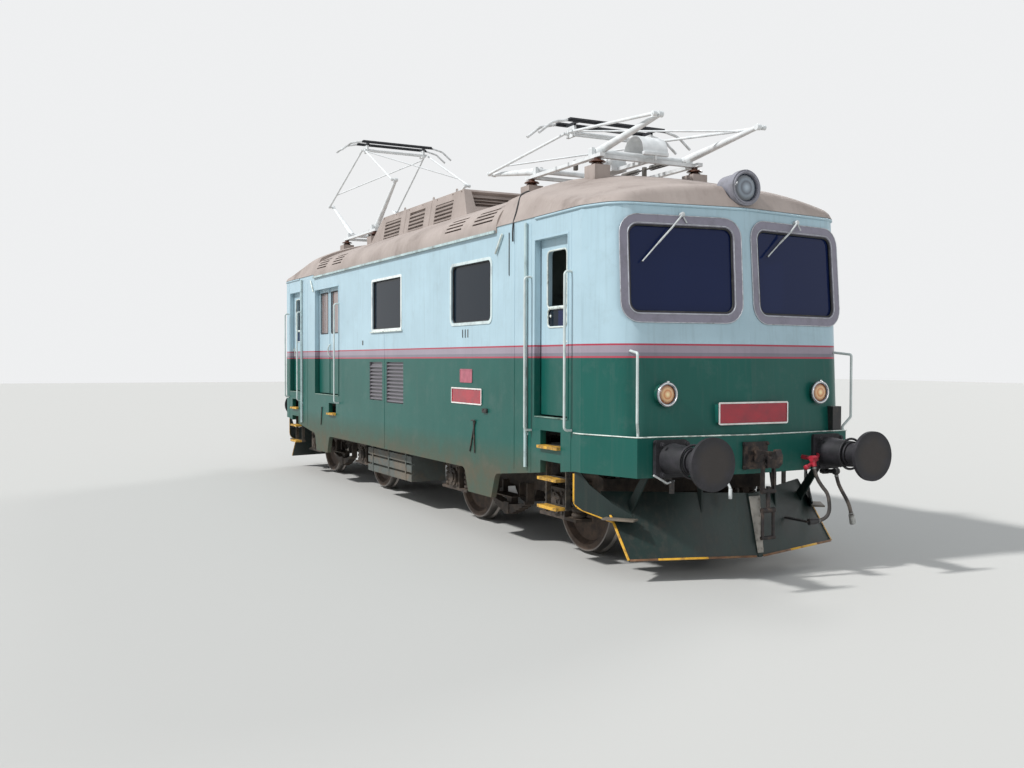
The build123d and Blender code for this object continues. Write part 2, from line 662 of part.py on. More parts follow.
def side_frame(window):
    x0, x1, z0, z1, radius = window
    rim = WINDOW_RIM
    y0, y1 = -HALF_WIDTH - RIM_PROUD, -HALF_WIDTH
    ring = block(x0 - rim, x1 + rim, y0, y1, z0 - rim, z1 + rim)
    ring = fillet(ring.edges().filter_by(Axis.Y), radius + rim * 0.6)
    hole = block(x0, x1, y0 - 1, y1 + 1, z0, z1)
    return ring - fillet(hole.edges().filter_by(Axis.Y), radius)


# Headlamps: two low on each end and one on each cab roof
def low_lamp():
    face_x = front_x(LAMP_Y, LAMP_Z) + 58
    back_x = front_x(LAMP_Y + LAMP_DIAMETER / 2, LAMP_Z) - 20
    neck_x = face_x - 42
    lamp = rod((back_x, -LAMP_Y, LAMP_Z), (neck_x, -LAMP_Y, LAMP_Z), LAMP_NECK)
    lamp += rod((neck_x, -LAMP_Y, LAMP_Z), (face_x, -LAMP_Y, LAMP_Z), LAMP_NECK, LAMP_DIAMETER)
    lamp -= rod((face_x - 14, -LAMP_Y, LAMP_Z), (face_x + 1, -LAMP_Y, LAMP_Z), LAMP_DIAMETER - 50)
    return lamp


def lamp_seat():
    return rod((TAPER_X, -LAMP_Y, LAMP_Z), (BUFFER_FACE_X, -LAMP_Y, LAMP_Z), LAMP_NECK + 4 * FIT)


def roof_lamp():
    x, z, wide = ROOF_LAMP_FACE_X, ROOF_LAMP_Z, ROOF_LAMP_DIAMETER
    lamp = rod((x - ROOF_LAMP_DEPTH, 0, z), (x - 60, 0, z), wide * 0.86, wide - 30)
    lamp += rod((x - 60, 0, z), (x, 0, z), wide)
    return lamp - rod((x - 22, 0, z), (x + 1, 0, z), wide - 70)


def roof_lamp_seat():
    """Room for the roof lamp in the front of the cab roof."""
    back_x = ROOF_LAMP_FACE_X - ROOF_LAMP_DEPTH
    return rod((back_x, 0, ROOF_LAMP_Z), (BUFFER_FACE_X, 0, ROOF_LAMP_Z), ROOF_LAMP_DIAMETER + 4 * FIT)


# Buffers: plate, barrel, rod and round head
def buffer():
    y, z = -BUFFER_Y, BUFFER_Z
    half = BUFFER_PLATE / 2
    plate = block(END_X - BUFFER_PLATE_THICKNESS, END_X, y - half, y + half, z - half, z + half)
    plate = fillet(plate.edges().filter_by(Axis.X), 25)
    back = END_X - BUFFER_PLATE_THICKNESS - 80
    packing = block(back, END_X - 10, y - half + 30, y + half - 30, z - half + 40, z + half - 40)
    barrel = rod((END_X, y, z), (END_X + 330, y, z), BUFFER_BARREL_DIAMETER, BUFFER_BARREL_DIAMETER - 40)
    inner = rod((END_X + 330, y, z), (BUFFER_FACE_X - 20, y, z), BUFFER_ROD_DIAMETER)
    head_back = BUFFER_FACE_X - BUFFER_HEAD_THICKNESS
    head = rod((head_back, y, z), (BUFFER_FACE_X, y, z), BUFFER_HEAD_DIAMETER)
    base = plate + packing - extrude(skirt_plan(), 3000)
    return base + barrel + inner + head


# Draw gear: hook with its plate, and a screw coupling that hangs from it
def draw_hook():
    z = BUFFER_Z
    x0 = BEAM_CREASE_X
    plate = block(x0 - 40, x0 + 20, -130, 130, z - 120, z + 120)
    plate -= extrude(skirt_plan(), 3000)
    tip = x0 + HOOK_REACH
    points = [(x0, z - 50), (tip - 150, z - 50), (tip - 110, z - 88), (tip - 50, z - 92), (tip - 6, z - 50)]
    points += [(tip, z + 20), (tip - 28, z + 76), (tip - 52, z + 70), (tip - 54, z + 8), (tip - 80, z - 12)]
    points += [(tip - 106, z + 8), (tip - 108, z + 48), (x0, z + 50)]
    hook = side_plate(points, -32, 32)
    x = COUPLING_PIN_X
    hook -= rod((x, -50, z - 8), (x, 50, z - 8), COUPLING_PIN + 2 * FIT)
    return plate + hook


def screw_coupling():
    x, z = COUPLING_PIN_X, BUFFER_Z - 8
    pin = rod((x, -75, z), (x, 75, z), COUPLING_PIN)
    body = pin
    for y in (-60, 60):
        body += block(x - 18, x + 18, y - 9, y + 9, z - 300, z + 30)
    body += rod((x, -72, z - 290), (x, 72, z - 290), 46)
    body += rod((x, 0, z - 480), (x, 0, z - 250), 38)
    body += rod((x, -72, z - 460), (x, 72, z - 460), 46)
    for y in (-60, 60):
        body += rod((x, y, z - 700), (x, y, z - 460), 30)
    body += rod((x, -75, z - 700), (x, 75, z - 700), 34)
    return body


# Snow plough: a vee blade that rakes back towards its ends, a nose plate, two wings and four posts
def plough_outline(nose_x, corner_x, z):
    t, y = PLOUGH_PLATE, PLOUGH_CORNER_Y
    points = [(nose_x, 0), (corner_x, -y), (corner_x - t, -y + 5), (nose_x - t, 0)]
    points += [(corner_x - t, y - 5), (corner_x, y)]
    return Pos(0, 0, z) * make_face(Polyline(*points, close=True))


def plough_front_x(y, z):
    """Front surface of the plough blade."""
    share = (z - PLOUGH_BOTTOM_Z) / (PLOUGH_TOP_Z - PLOUGH_BOTTOM_Z)
    nose = PLOUGH_LOW_NOSE_X + (PLOUGH_TOP_NOSE_X - PLOUGH_LOW_NOSE_X) * share
    corner = PLOUGH_LOW_CORNER_X + (PLOUGH_TOP_CORNER_X - PLOUGH_LOW_CORNER_X) * share
    return nose + (corner - nose) * abs(y) / PLOUGH_CORNER_Y


def plough():
    low = plough_outline(PLOUGH_LOW_NOSE_X, PLOUGH_LOW_CORNER_X, PLOUGH_BOTTOM_Z)
    top = plough_outline(PLOUGH_TOP_NOSE_X, PLOUGH_TOP_CORNER_X, PLOUGH_TOP_Z)
    body = loft([low, top], ruled=True)
    t = PLOUGH_PLATE
    low_nose = Pos(PLOUGH_LOW_NOSE_X - t / 2, 0, PLOUGH_BOTTOM_Z) * Rectangle(2 * t, 36)
    top_nose = Pos(PLOUGH_TOP_NOSE_X - t / 2, 0, PLOUGH_TOP_Z) * Rectangle(2 * t, 120)
    body += loft([low_nose, top_nose], ruled=True)
    wing = [(-18, SKIRT_END_Z - 8), (12, SKIRT_END_Z), (36, SKIRT_END_Z), (130, 800)]
    wing += [(360, 645), (540, 560)]
    wing += [(535, 540), (380, 480), (210, 530), (60, 570), (-18, 620)]
    plate = Rot(0, 0, WING_TOE) * side_plate(wing, -t / 2, t / 2)
    plate = Pos(TAPER_X - 115, -HALF_WIDTH + 28, 0) * plate
    for side in both_sides(plate):
        body += side
    beam_x, beam_z = BEAM_BACK_X + 5, SKIRT_END_Z + 15
    for y in (-980, -420, 420, 980):
        post = [(beam_x, beam_z), (beam_x + 90, beam_z)]
        post += [(plough_front_x(y, z) - 4, z) for z in (PLOUGH_TOP_Z - 180, PLOUGH_TOP_Z - 100)]
        body += side_plate(post, y - 8, y + 8)
    return body


# Steps: boards in the openings of the skirt, and boards bolted between two flat hangers
def step_board(x0, x1, z):
    return block(x0, x1, -HALF_WIDTH - STEP_OUT, -HALF_WIDTH + 130, z - STEP_BOARD, z)


def cab_steps():
    x0, x1 = STEP_X
    top_z, *hung = STEP_LEVELS
    shapes = [step_board(x0, x1, top_z)]
    for x in (x0, x1 - STEP_HANGER):
        hanger = block(x, x + STEP_HANGER, -INNER_Y, -INNER_Y + 50, hung[-1] - STEP_BOARD, top_z - STEP_BOARD)
        shapes.append(hanger)
    shapes += [step_board(x0 + STEP_HANGER, x1 - STEP_HANGER, z) for z in hung]
    return shapes


# Handrails: grab rails beside the doors and on the body ends
def handrails():
    off, tube = 75, 24
    y_wall, y_rail = -HALF_WIDTH, -HALF_WIDTH - off
    rails = []
    uprights = ((DOOR_FRONT_X + 72, 1283, 2717), (DOOR_REAR_X - 70, 1241, 2719))
    uprights += ((SERVICE_DOOR_X[1] + 22, 1275, 2758),)
    for x, z0, z1 in uprights:
        points = [(x, y_wall, z0), (x, y_rail, z0), (x, y_rail, z1), (x, y_wall, z1)]
        rails.append((x, bent_rod(points, 35, tube)))
    shapes = []
    for x, rail in rails:
        shapes += both_sides(rail)
        if x > 0:
            shapes += [mirror(s, about=Plane.YZ) for s in both_sides(rail)]
    x, y, top = BEAM_CORNER_X + 35, -BEAM_CORNER_Y - 26, 1978
    wall_x = front_x(BEAM_CORNER_Y - 30, top) - 20
    foot = (BEAM_CORNER_X - 22, -BEAM_CORNER_Y + 20)
    points = [(*foot, LEDGE_Z), (*foot, LEDGE_Z + 40), (x, y, LEDGE_Z + 130), (x, y, top)]
    points += [(wall_x, y + 50, top + 20)]
    end_rail = bent_rod(points, 22, tube) - cab_upper()
    return shapes + four_corners(end_rail)


# Gutters along the eaves and drain pipes behind the cab doors
def gutters():
    shapes = []
    y0 = -HALF_WIDTH - ROOF_EAVE
    mid = block(-CAB_ROOF_REAR_X + 10, CAB_ROOF_REAR_X - 10, y0 - 22, y0, MID_GUTTER_Z, MID_GUTTER_Z + 26)
    shapes += both_sides(mid)
    x, y = CAB_JOINT_X - 70, -HALF_WIDTH - 22
    pipe = rod((x, y, skirt_rise_z(x) + 60), (x, y, CAB_GUTTER_Z - 40), 32)
    for z in (1200, 2700):
        pipe += block(x - 20, x + 20, -HALF_WIDTH - 8, -HALF_WIDTH, z - 12, z + 12)
    shapes += four_corners(pipe)
    return shapes


# Cab fittings seen through the glass: bulkhead, desk and two seats
def cab_fittings():
    bulkhead = block(CAB_JOINT_X - 60, CAB_JOINT_X - 20, -INNER_Y, INNER_Y, FLOOR_TOP_Z, CAB_GUTTER_Z - 5)
    x = TAPER_X
    desk = [(x + 10, FLOOR_TOP_Z), (x + 280, FLOOR_TOP_Z), (x + 280, 2240)]
    desk += [(x - 50, 2150), (x - 60, 2110), (x + 10, 2080)]
    half = HALF_WIDTH - 335
    console = side_plate(desk, -half, half)
    shapes = [bulkhead, console]
    x = TAPER_X - 300
    for y in (-500, 500):
        seat = rod((x, y, FLOOR_TOP_Z), (x, y, 1800), 90)
        cushion = block(x - 180, x + 190, y - 190, y + 190, 1800, 1890)
        back = block(x - 190, x - 130, y - 180, y + 180, 1890, 2420)
        shapes.append(seat + fillet(cushion.edges().filter_by(Axis.Z), 60) + back)
    return shapes


# Heavy plant of the machine room as one plain block, and the equipment below the floor
def machine_block():
    return block(-CAB_JOINT_X + 2400, CAB_JOINT_X - 2200, -620, 620, FLOOR_TOP_Z, 2900)


def underfloor_equipment():
    room = BOGIE_X - WHEELBASE / 2 - 620
    x0, x1 = -room, room - 440
    cabinet = block(x0, x1, -CABINET_Y[1], -CABINET_Y[0], CABINET_Z[0], CABINET_Z[1])
    pitch = (CABINET_Z[1] - CABINET_Z[0] + BAR_GAP) / CABINET_BARS
    for i in range(1, CABINET_BARS):
        z = CABINET_Z[0] + pitch * i
        cabinet -= block(x0 - 1, x1 + 1, -CABINET_Y[1] - 1, -CABINET_Y[1] + BAR_DEPTH, z - BAR_GAP, z)
    for share in (0.12, 0.5, 0.88):
        x = x0 + (x1 - x0) * share
        cabinet += block(x - 16, x + 16, -CABINET_Y[1] - 6, -CABINET_Y[1] + BAR_DEPTH, *CABINET_Z)
    for x in (x0 + 80, x1 - 220):
        cabinet += block(x - 20, x + 20, -1100, -1060, CABINET_Z[1], FLOOR_BOTTOM_Z)
    shapes = both_sides(cabinet)
    x0, x1 = -room + 160, room - 260
    tank = rod((x0, -420, 880), (x1, -420, 880), 400)
    for x in (x0 + 220, x1 - 220):
        tank += block(x - 20, x + 20, -560, -280, 1000, FLOOR_BOTTOM_Z)
    return shapes + both_sides(tank)


# Air cocks, the holder of the first hose and a cable socket on the end beams
def air_cocks():
    shapes = []
    for points, beam_z, neck in ((HOSE_A, COCK_A_Z, 70), (HOSE_B, COCK_B_Z, 30)):
        start, after = route(points)[:2]
        top = start - (after - start).normalized() * neck
        x = BEAM_CREASE_X - (BEAM_CREASE_X - BEAM_CORNER_X) * start.Y / BEAM_CORNER_Y
        cock = rod(tuple(top), tuple(start), 46) + rod((x - 80, start.Y, beam_z), tuple(top), 40)
        cock += rod((top.X, top.Y - 26, top.Z), (top.X, top.Y + 26, top.Z), 56)
        if beam_z < SKIRT_END_Z:
            cock += block(x - 40, x - 12, start.Y - 30, start.Y + 30, beam_z - 20, SKIRT_END_Z)
        shapes.append(cock - extrude(Pos(0, 0, SKIRT_END_Z) * skirt_plan(), 400))
    a, b = route(HOSE_A)[-2:]
    tip = b + (b - a).normalized() * 90
    holder_x = plough_front_x(tip.Y - 20, tip.Z - 8) + FIT
    bracket = block(holder_x, tip.X, tip.Y - 20, tip.Y + 20, tip.Z - 8, tip.Z + 8)
    shapes.append(rod(tuple(b), tuple(tip), 52, 60) + bracket)
    x = BEAM_CORNER_X
    shapes.append(block(x - 160, x - 5, BEAM_CORNER_Y - 160, BEAM_CORNER_Y - 55, LEDGE_Z, 1490) - cab_upper())
    y = -BEAM_CORNER_Y + 320
    spare = rod((x - 60, y, SPARE_COCK_Z), (x + 60, y, SPARE_COCK_Z), 34)
    spare += rod((x + 50, y, SPARE_COCK_Z - 90), (x + 50, y, SPARE_COCK_Z + 20), 46)
    spare += block(x - 20, x + 8, y - 30, y + 30, SPARE_COCK_Z - 20, SKIRT_END_Z)
    shapes.append(spare)
    return shapes


def route(points):
    """Route points of a hose in the vehicle's frame."""
    return [Vector(END_X + x, y, z) for x, y, z in points]


# Roof insulators under the pantographs, and the pantographs themselves
def insulator():
    """Ribbed insulator with a wide rain shed and a smaller one below it."""
    r, height = INSULATOR_DIAMETER / 2, BASE_FRAME_Z - POST_TOP_Z
    points = [(0, 0), (r * 0.55, 0), (r * 0.55, 8), (r * 0.72, 14), (r * 0.72, 20), (r * 0.45, 30)]
    points += [(r, 36), (r, 41), (r * 0.86, 52), (r * 0.5, 62), (r * 0.4, 66), (r * 0.4, height), (0, height)]
    return revolve(Plane.XZ * make_face(Polyline(*points, close=True)), Axis.Z)


def roof_insulators(centre):
    shapes = []
    for sx in (-1, 1):
        for sy in (-1, 1):
            place = Pos(centre + sx * INSULATOR_X, sy * INSULATOR_Y, POST_TOP_Z)
            shapes.append(place * insulator())
    return shapes


def pantograph_base(centre):
    z0, z1 = BASE_FRAME_Z, BASE_FRAME_Z + 36
    body = None
    for y in (-INSULATOR_Y, INSULATOR_Y):
        beam = block(centre - 800, centre + 800, y - 30, y + 30, z0, z1)
        body = beam if body is None else body + beam
    for x in (-INSULATOR_X, INSULATOR_X):
        body += block(centre + x - 25, centre + x + 25, -INSULATOR_Y, INSULATOR_Y, z0, z1)
    body += block(centre - 180, centre + 180, -90, 90, z0, z0 + 90)
    body += block(centre - INSULATOR_X, centre + INSULATOR_X, -30, 30, z0, z1)
    for x in (-BASE_PIVOT_X, BASE_PIVOT_X):
        for side in (-1, 1):
            y0, y1 = side * 590, side * 625
            body += block(centre + x - 35, centre + x + 35, y0, y1, z1 - 5, BASE_PIVOT_Z + 36)
        for side in (-1, 1):
            y = side * 592
            body -= rod((centre + x, y - 60, BASE_PIVOT_Z), (centre + x, y + 60, BASE_PIVOT_Z), 40 + 2 * FIT)
    return body


def knuckle_point(centre, way, angle):
    x = centre + way * (BASE_PIVOT_X + LOWER_ARM * cos(radians(angle)))
    return x, BASE_PIVOT_Z + LOWER_ARM * sin(radians(angle))


def apex_point(centre, way, angle):
    x, z = knuckle_point(centre, way, angle)
    lift = radians(angle * ARM_RATIO)
    return x - way * UPPER_ARM * cos(lift), z + UPPER_ARM * sin(lift)


def lower_arm(centre, way, angle):
    """Base shaft with two tapered arms and the knuckle pins at their ends."""
    foot = centre + way * BASE_PIVOT_X
    kx, kz = knuckle_point(centre, way, angle)
    body = rod((foot, -585, BASE_PIVOT_Z), (foot, 585, BASE_PIVOT_Z), 62)
    body += rod((foot, -624, BASE_PIVOT_Z), (foot, 624, BASE_PIVOT_Z), 40)
    for side in (-1, 1):
        y = side * LOWER_ARM_Y
        arm = rod((foot, y - side * 35, BASE_PIVOT_Z), (kx, y, kz), ARM_FOOT_DIAMETER, ARM_TIP_DIAMETER - 4)
        body += arm
        body += rod((kx, y - 24, kz), (kx, y + 24, kz), ARM_TIP_DIAMETER + 8)
        body += rod((kx, y, kz), (kx, side * (KNUCKLE_Y + 24), kz), KNUCKLE_PIN)
    return body


def upper_arm(centre, way, angle):
    """Two light tubes from the knuckles to the apex tube, with one diagonal between them."""
    kx, kz = knuckle_point(centre, way, angle)
    ax, az = apex_point(centre, way, angle)
    body = rod((ax, -APEX_Y - 20, az), (ax, APEX_Y + 20, az), APEX_TUBE)
    for side in (-1, 1):
        low = (kx, side * KNUCKLE_Y, kz)
        body += rod(low, (ax, side * APEX_Y, az), 34, 28)
        body += rod((kx, side * (KNUCKLE_Y - 20), kz), (kx, side * (KNUCKLE_Y + 20), kz), 48)
    share = 0.22
    far = [k + (a - k) * share for k, a in zip((kx, KNUCKLE_Y, kz), (ax, APEX_Y, az))]
    near = [k + (a - k) * 0.94 for k, a in zip((kx, -KNUCKLE_Y, kz), (ax, -APEX_Y, az))]
    if way < 0:
        far, near = [far[0], -far[1], far[2]], [near[0], -near[1], near[2]]
    body += rod(tuple(far), tuple(near), 20)
    for side in (-1, 1):
        pin = KNUCKLE_PIN + 2 * FIT
        body -= rod((kx, side * (KNUCKLE_Y - 30), kz), (kx, side * (KNUCKLE_Y + 30), kz), pin)
    return body


def collector_head(centre, angle):
    """Two contact strips with down-turned horns, on brackets that hang on the apex tube."""
    ax, az = apex_point(centre, 1, angle)
    top = az + 105
    body = None
    for x in (centre - 130, centre + 130):
        points = [(x, -960, top - 165), (x, -800, top - 40), (x, -620, top)]
        points += [(x, 620, top), (x, 800, top - 40), (x, 960, top - 165)]
        horn = bent_rod(points, 120, 30)
        body = horn if body is None else body + horn
        body += block(x - 30, x + 30, -600, 600, top + 5, top + 25)
    bx = 2 * centre - ax
    for side in (-1, 1):
        y = side * (APEX_Y - 60)
        body += block(centre - 130, centre + 130, y - 14, y + 14, top - 14, top + 6)
        yoke = [(bx - 42, az - 42), (ax + 26, az - 42), (ax + 26, az + 20)]
        yoke += [(centre + 60, top), (centre - 60, top), (bx - 42, az + 30)]
        body += side_plate(yoke, y - 14, y + 14)
        body -= rod((ax, y - 30, az), (ax, y + 30, az), APEX_TUBE + 2 * FIT)
        body -= rod((bx, y - 30, az), (bx, y + 30, az), APEX_TUBE + 2 * YOKE_PLAY)
    return body


# Bogie: plate side frames with pedestals, cross members, axle boxes on springs, motors
def bogie_frame(centre):
    axle, half_slot = WHEELBASE / 2, 135
    top, low = 880, 640
    half = [(0, 560), (700, 560), (axle - 330, low), (axle - half_slot - 70, low)]
    half += [(axle - half_slot - 70, 420), (axle - half_slot, 420), (axle - half_slot, 740)]
    half += [(axle + half_slot, 740), (axle + half_slot, 420), (axle + half_slot + 70, 420)]
    half += [(axle + half_slot + 70, low), (axle + 550, low), (axle + 550, 800), (axle + 330, top), (0, top)]
    right = side_plate(half, -FRAME_Y[1], -FRAME_Y[0])
    plate = right + mirror(right, about=Plane.YZ)
    body = None
    for shape in both_sides(plate):
        body = shape if body is None else body + shape
    body += block(-280, 280, -FRAME_Y[0], FRAME_Y[0], 715, BOLSTER_TOP_Z - 30)
    body += block(-110, 110, -750, 750, BOLSTER_TOP_Z - 40, BOLSTER_TOP_Z)
    for side in (-1, 1):
        x0, x1 = side * (axle + 520), side * (axle + 550)
        body += block(x0, x1, -FRAME_Y[0], FRAME_Y[0], 640, 800)
    body -= rod((0, 0, 600), (0, 0, 1000), PIVOT_DIAMETER + 2 * FIT)
    for shape in both_sides(leaf_pack()):
        body += shape
    for sx in (-1, 1):
        for x in (axle - SPRING_OFFSET, axle + SPRING_OFFSET):
            for sy in (-1, 1):
                y0, y1 = sy * FRAME_Y[1], sy * (AXLE_BOX_Y[1] + 10)
                body += block(sx * x - 80, sx * x + 80, y0, y1, SPRING_SEAT_Z, SPRING_SEAT_Z + 25)
    for sx in (-1, 1):
        for sy in (-1, 1):
            tread_y = sy * (BACK_TO_BACK / 2 + 85)
            outer = sx * (axle + 520)
            body += block(outer, sx * (axle + 545), tread_y - 40, tread_y + 40, 440, 700)
            inner = sx * (axle - 545)
            body += block(inner, sx * (axle - 520), tread_y - 40, sy * FRAME_Y[0], 600, 660)
            body += block(inner, sx * (axle - 520), tread_y - 40, tread_y + 40, 440, 700)
            shoes = block(sx * (axle - 530), sx * (axle + 530), tread_y - 42, tread_y + 42, 440, 640)
            wheel = rod((sx * axle, tread_y - 50, AXLE_Z), (sx * axle, tread_y + 50, AXLE_Z), SHOE_BORE)
            body += shoes - wheel
    return Pos(centre, 0, 0) * body


def leaf_pack():
    """Leaf spring at the middle of the right frame, with its buckle and the shelf above it."""
    y0, y1 = -FRAME_Y[1] - LEAF_WIDTH, -FRAME_Y[1]
    pack = None
    for i, length in enumerate(LEAF_LENGTHS):
        z = LEAF_TOP_Z - i * LEAF_THICKNESS
        half = length / 2
        drop = LEAF_CAMBER * (length / LEAF_LENGTHS[0]) ** 2
        low = z - LEAF_THICKNESS
        outline = ThreePointArc((-half, z + drop), (0, z), (half, z + drop))
        outline += Line((half, z + drop), (half, low + drop))
        outline += ThreePointArc((half, low + drop), (0, low), (-half, low + drop))
        outline += Line((-half, low + drop), (-half, z + drop))
        leaf = Pos(0, y1, 0) * extrude(Plane.XZ * make_face(outline), LEAF_WIDTH)
        pack = leaf if pack is None else pack + leaf
    bottom = LEAF_TOP_Z - len(LEAF_LENGTHS) * LEAF_THICKNESS
    pack += block(-55, 55, y0 - 10, y1, bottom - 14, LEAF_TOP_Z + 20)
    pack += block(-240, 240, y0 - 60, y1, LEAF_TOP_Z + 90, LEAF_TOP_Z + 104)
    for x in (-200, 200):
        pack += block(x - 14, x + 14, y1 - 60, y1, LEAF_TOP_Z + 90, 600)
    pack += block(-55, 55, y0 + 30, y1, LEAF_TOP_Z, LEAF_TOP_Z + 104)
    for x in (-LEAF_LENGTHS[0] / 2 + 16, LEAF_LENGTHS[0] / 2 - 16):
        pack += block(x - 14, x + 14, y1 - 80, y1, LEAF_TOP_Z + 40, 620)
    return pack


def axle_boxes(centre):
    shapes = []
    for sx in (-1, 1):
        for sy in (-1, 1):
            x = sx * WHEELBASE / 2
            y0, y1 = sy * AXLE_BOX_Y[0], sy * AXLE_BOX_Y[1]
            box = block(x - 150, x + 150, y0, y1, AXLE_Z - 150, AXLE_Z + 150)
            box += block(x - 360, x + 360, y0, y1, AXLE_Z - 150, AXLE_Z - 120)
            cover = rod((x, y1, AXLE_Z), (x, y1 + sy * 30, AXLE_Z), 210)
            box += cover
            inner = sy * (FRAME_Y[0] + 2)
            box += block(x - 134, x + 134, inner, y0, AXLE_Z - 130, AXLE_Z + 140)
            end_y = sy * (JOURNAL_END_Y + 5)
            box -= rod((x, sy * 800, AXLE_Z), (x, end_y, AXLE_Z), JOURNAL_DIAMETER + 2 * FIT)
            box += rod((x, y1, AXLE_Z), (x, y1 + sy * 44, AXLE_Z), 120)
            for bolt_x in (x - 100, x + 100):
                for z in (AXLE_Z - 80, AXLE_Z + 100):
                    box += rod((bolt_x, y1, z), (bolt_x, y1 + sy * 14, z), 46)
            shapes.append(Pos(centre, 0, 0) * box)
    return shapes


def coil_springs(centre):
    """Coil springs between the wings of the axle boxes and the frame, each as a stack of round turns."""
    low, high = AXLE_Z - 120, SPRING_SEAT_Z
    pitch = (high - low) / SPRING_TURNS
    wire, r = pitch * 0.36, SPRING_DIAMETER / 2
    points = [(0, low)]
    for i in range(SPRING_TURNS):
        z = low + pitch * i
        points += [(r - wire, z), (r - wire * 0.3, z + pitch * 0.18), (r, z + pitch * 0.5)]
        points += [(r - wire * 0.3, z + pitch * 0.82)]
    points += [(r - wire, high), (0, high)]
    spring = revolve(Plane.XZ * make_face(Polyline(*points, close=True)), Axis.Z)
    shapes = []
    for sx in (-1, 1):
        for away in (-1, 1):
            x = centre + sx * WHEELBASE / 2 + away * SPRING_OFFSET
            for sy in (-1, 1):
                shapes.append(Pos(x, sy * (AXLE_BOX_Y[0] + AXLE_BOX_Y[1]) / 2, 0) * spring)
    return shapes


def traction_motors(centre):
    shapes = []
    for sx in (-1, 1):
        axle_x = sx * WHEELBASE / 2
        x = axle_x - sx * 520
        body = rod((x, -430, AXLE_Z + 30), (x, 430, AXLE_Z + 30), 620)
        for y in (-380, 380):
            body += rod((axle_x, y - 60, AXLE_Z), (axle_x, y + 60, AXLE_Z), AXLE_DIAMETER + 120)
            body += block(axle_x, x, y - 50, y + 50, AXLE_Z - 90, AXLE_Z + 90)
        gear = rod((axle_x, 520, AXLE_Z), (axle_x, 620, AXLE_Z), 560)
        gear += rod((x, 430, AXLE_Z + 30), (x, 620, AXLE_Z + 30), 300)
        gear += block(axle_x, x, 520, 620, AXLE_Z - 130, AXLE_Z + 170)
        body += gear
        body += block(x - sx * 330, x - sx * 200, -150, 150, 600, 715)
        body -= rod((axle_x, -700, AXLE_Z), (axle_x, 700, AXLE_Z), AXLE_DIAMETER + 2 * FIT)
        shapes.append(Pos(centre, 0, 0) * body)
    return shapes


def wheelset(x):
    """Axle with two flanged wheels, turned in one profile."""
    r = WHEEL_DIAMETER / 2
    inner, outer = BACK_TO_BACK / 2, BACK_TO_BACK / 2 + TYRE_WIDTH
    axle = AXLE_DIAMETER / 2
    hub = 150
    half = [(0, axle), (inner - 10, axle), (inner - 10, hub), (inner + 40, hub), (inner + 50, r - 120)]
    half += [(inner, r - 70), (inner, r + FLANGE_HEIGHT - 8), (inner + 10, r + FLANGE_HEIGHT)]
    half += [(inner + 20, r + FLANGE_HEIGHT - 4), (inner + 36, r), (outer, r - 5), (outer, r - 70)]
    half += [(inner + 85, r - 110), (inner + 80, hub), (inner + 140, hub), (inner + 140, axle)]
    half += [(inner + 170, axle), (inner + 170, JOURNAL_DIAMETER / 2), (JOURNAL_END_Y, JOURNAL_DIAMETER / 2)]
    points = half + [(JOURNAL_END_Y, 0), (0, 0)]
    face = make_face(Polyline(*points, close=True))
    profile = Plane(origin=(x, 0, AXLE_Z), x_dir=(0, 1, 0), z_dir=(1, 0, 0)) * face
    side = revolve(profile, Axis((x, 0, AXLE_Z), (0, 1, 0)))
    return side + mirror(side, about=Plane.XZ)


# Free air hoses on the ends
def hose(points, diameter):
    """Hanging hose: straight runs joined by tangent arcs as large as the runs allow."""
    points = route(points)
    runs = [b - a for a, b in zip(points, points[1:])]
    shares = [0.9] + [0.47] * (len(runs) - 2) + [0.9]
    free = [run.length * share for run, share in zip(runs, shares)]
    radii = []
    for i in range(len(runs) - 1):
        turn = radians(runs[i].get_angle(runs[i + 1]))
        radii.append(min(free[i], free[i + 1]) / tan(turn / 2))
    line = FilletPolyline(*points, radius=radii)
    start = Plane(origin=line @ 0, z_dir=line % 0)
    return sweep(start * Circle(diameter / 2), path=line)


def hose_head(points):
    """Coupling head at the free end of a hose."""
    a, b = route(points)[-2:]
    way = (b - a).normalized()
    tip = b + way * 90
    return rod(tuple(b), tuple(tip), 52, 60)


# Write every node
cab = cab_shell()
for lug in door_hinge_lugs(DOOR_REAR_X - DOOR_LAP, DOOR_TOP_Z):
    for shape in both_sides(lug):
        cab += shape
seats = both_sides(lamp_seat())
for seat in seats:
    cab -= seat
roof = cab_roof() - roof_lamp_seat()
wall_right = side_wall()

write("underframe", [underframe()])
write("cab_shell_front", [cab])
write("cab_shell_rear", [mirror(cab, about=Plane.YZ)])
write("side_wall_right", [wall_right])
write("side_wall_left", [mirror(wall_right, about=Plane.XZ)])
write("mid_roof", [mid_roof()])
write("cab_roofs", [roof, mirror(roof, about=Plane.YZ)])
write("roof_hood", [roof_hood()])
panes = four_corners(screen_pane())
frames = four_corners(screen_frame())
for window in SIDE_WINDOWS:
    panes += both_sides(side_pane(window))
    frames += both_sides(side_frame(window))
write("window_panes", panes)
write("window_frames", frames)
write("headlamps", four_corners(low_lamp()) + both_ends(roof_lamp()))
write("buffers", four_corners(buffer()))
write("draw_gear", both_ends(draw_hook()) + both_ends(screw_coupling()))
write("ploughs", both_ends(plough()))
steps = both_sides(step_board(*SERVICE_STEP_X, SERVICE_STEP_Z))
for shape in cab_steps():
    steps += four_corners(shape)
write("steps", steps)
write("handrails", handrails())
write("gutters_and_drains", gutters())
fittings = []
for shape in cab_fittings():
    fittings += both_ends(shape)
write("cab_fittings", fittings)
write("machine_block", [machine_block()])
write("underfloor_equipment", underfloor_equipment())
cocks = []
for shape in air_cocks():
    cocks += both_ends(shape)
write("air_cocks", cocks)

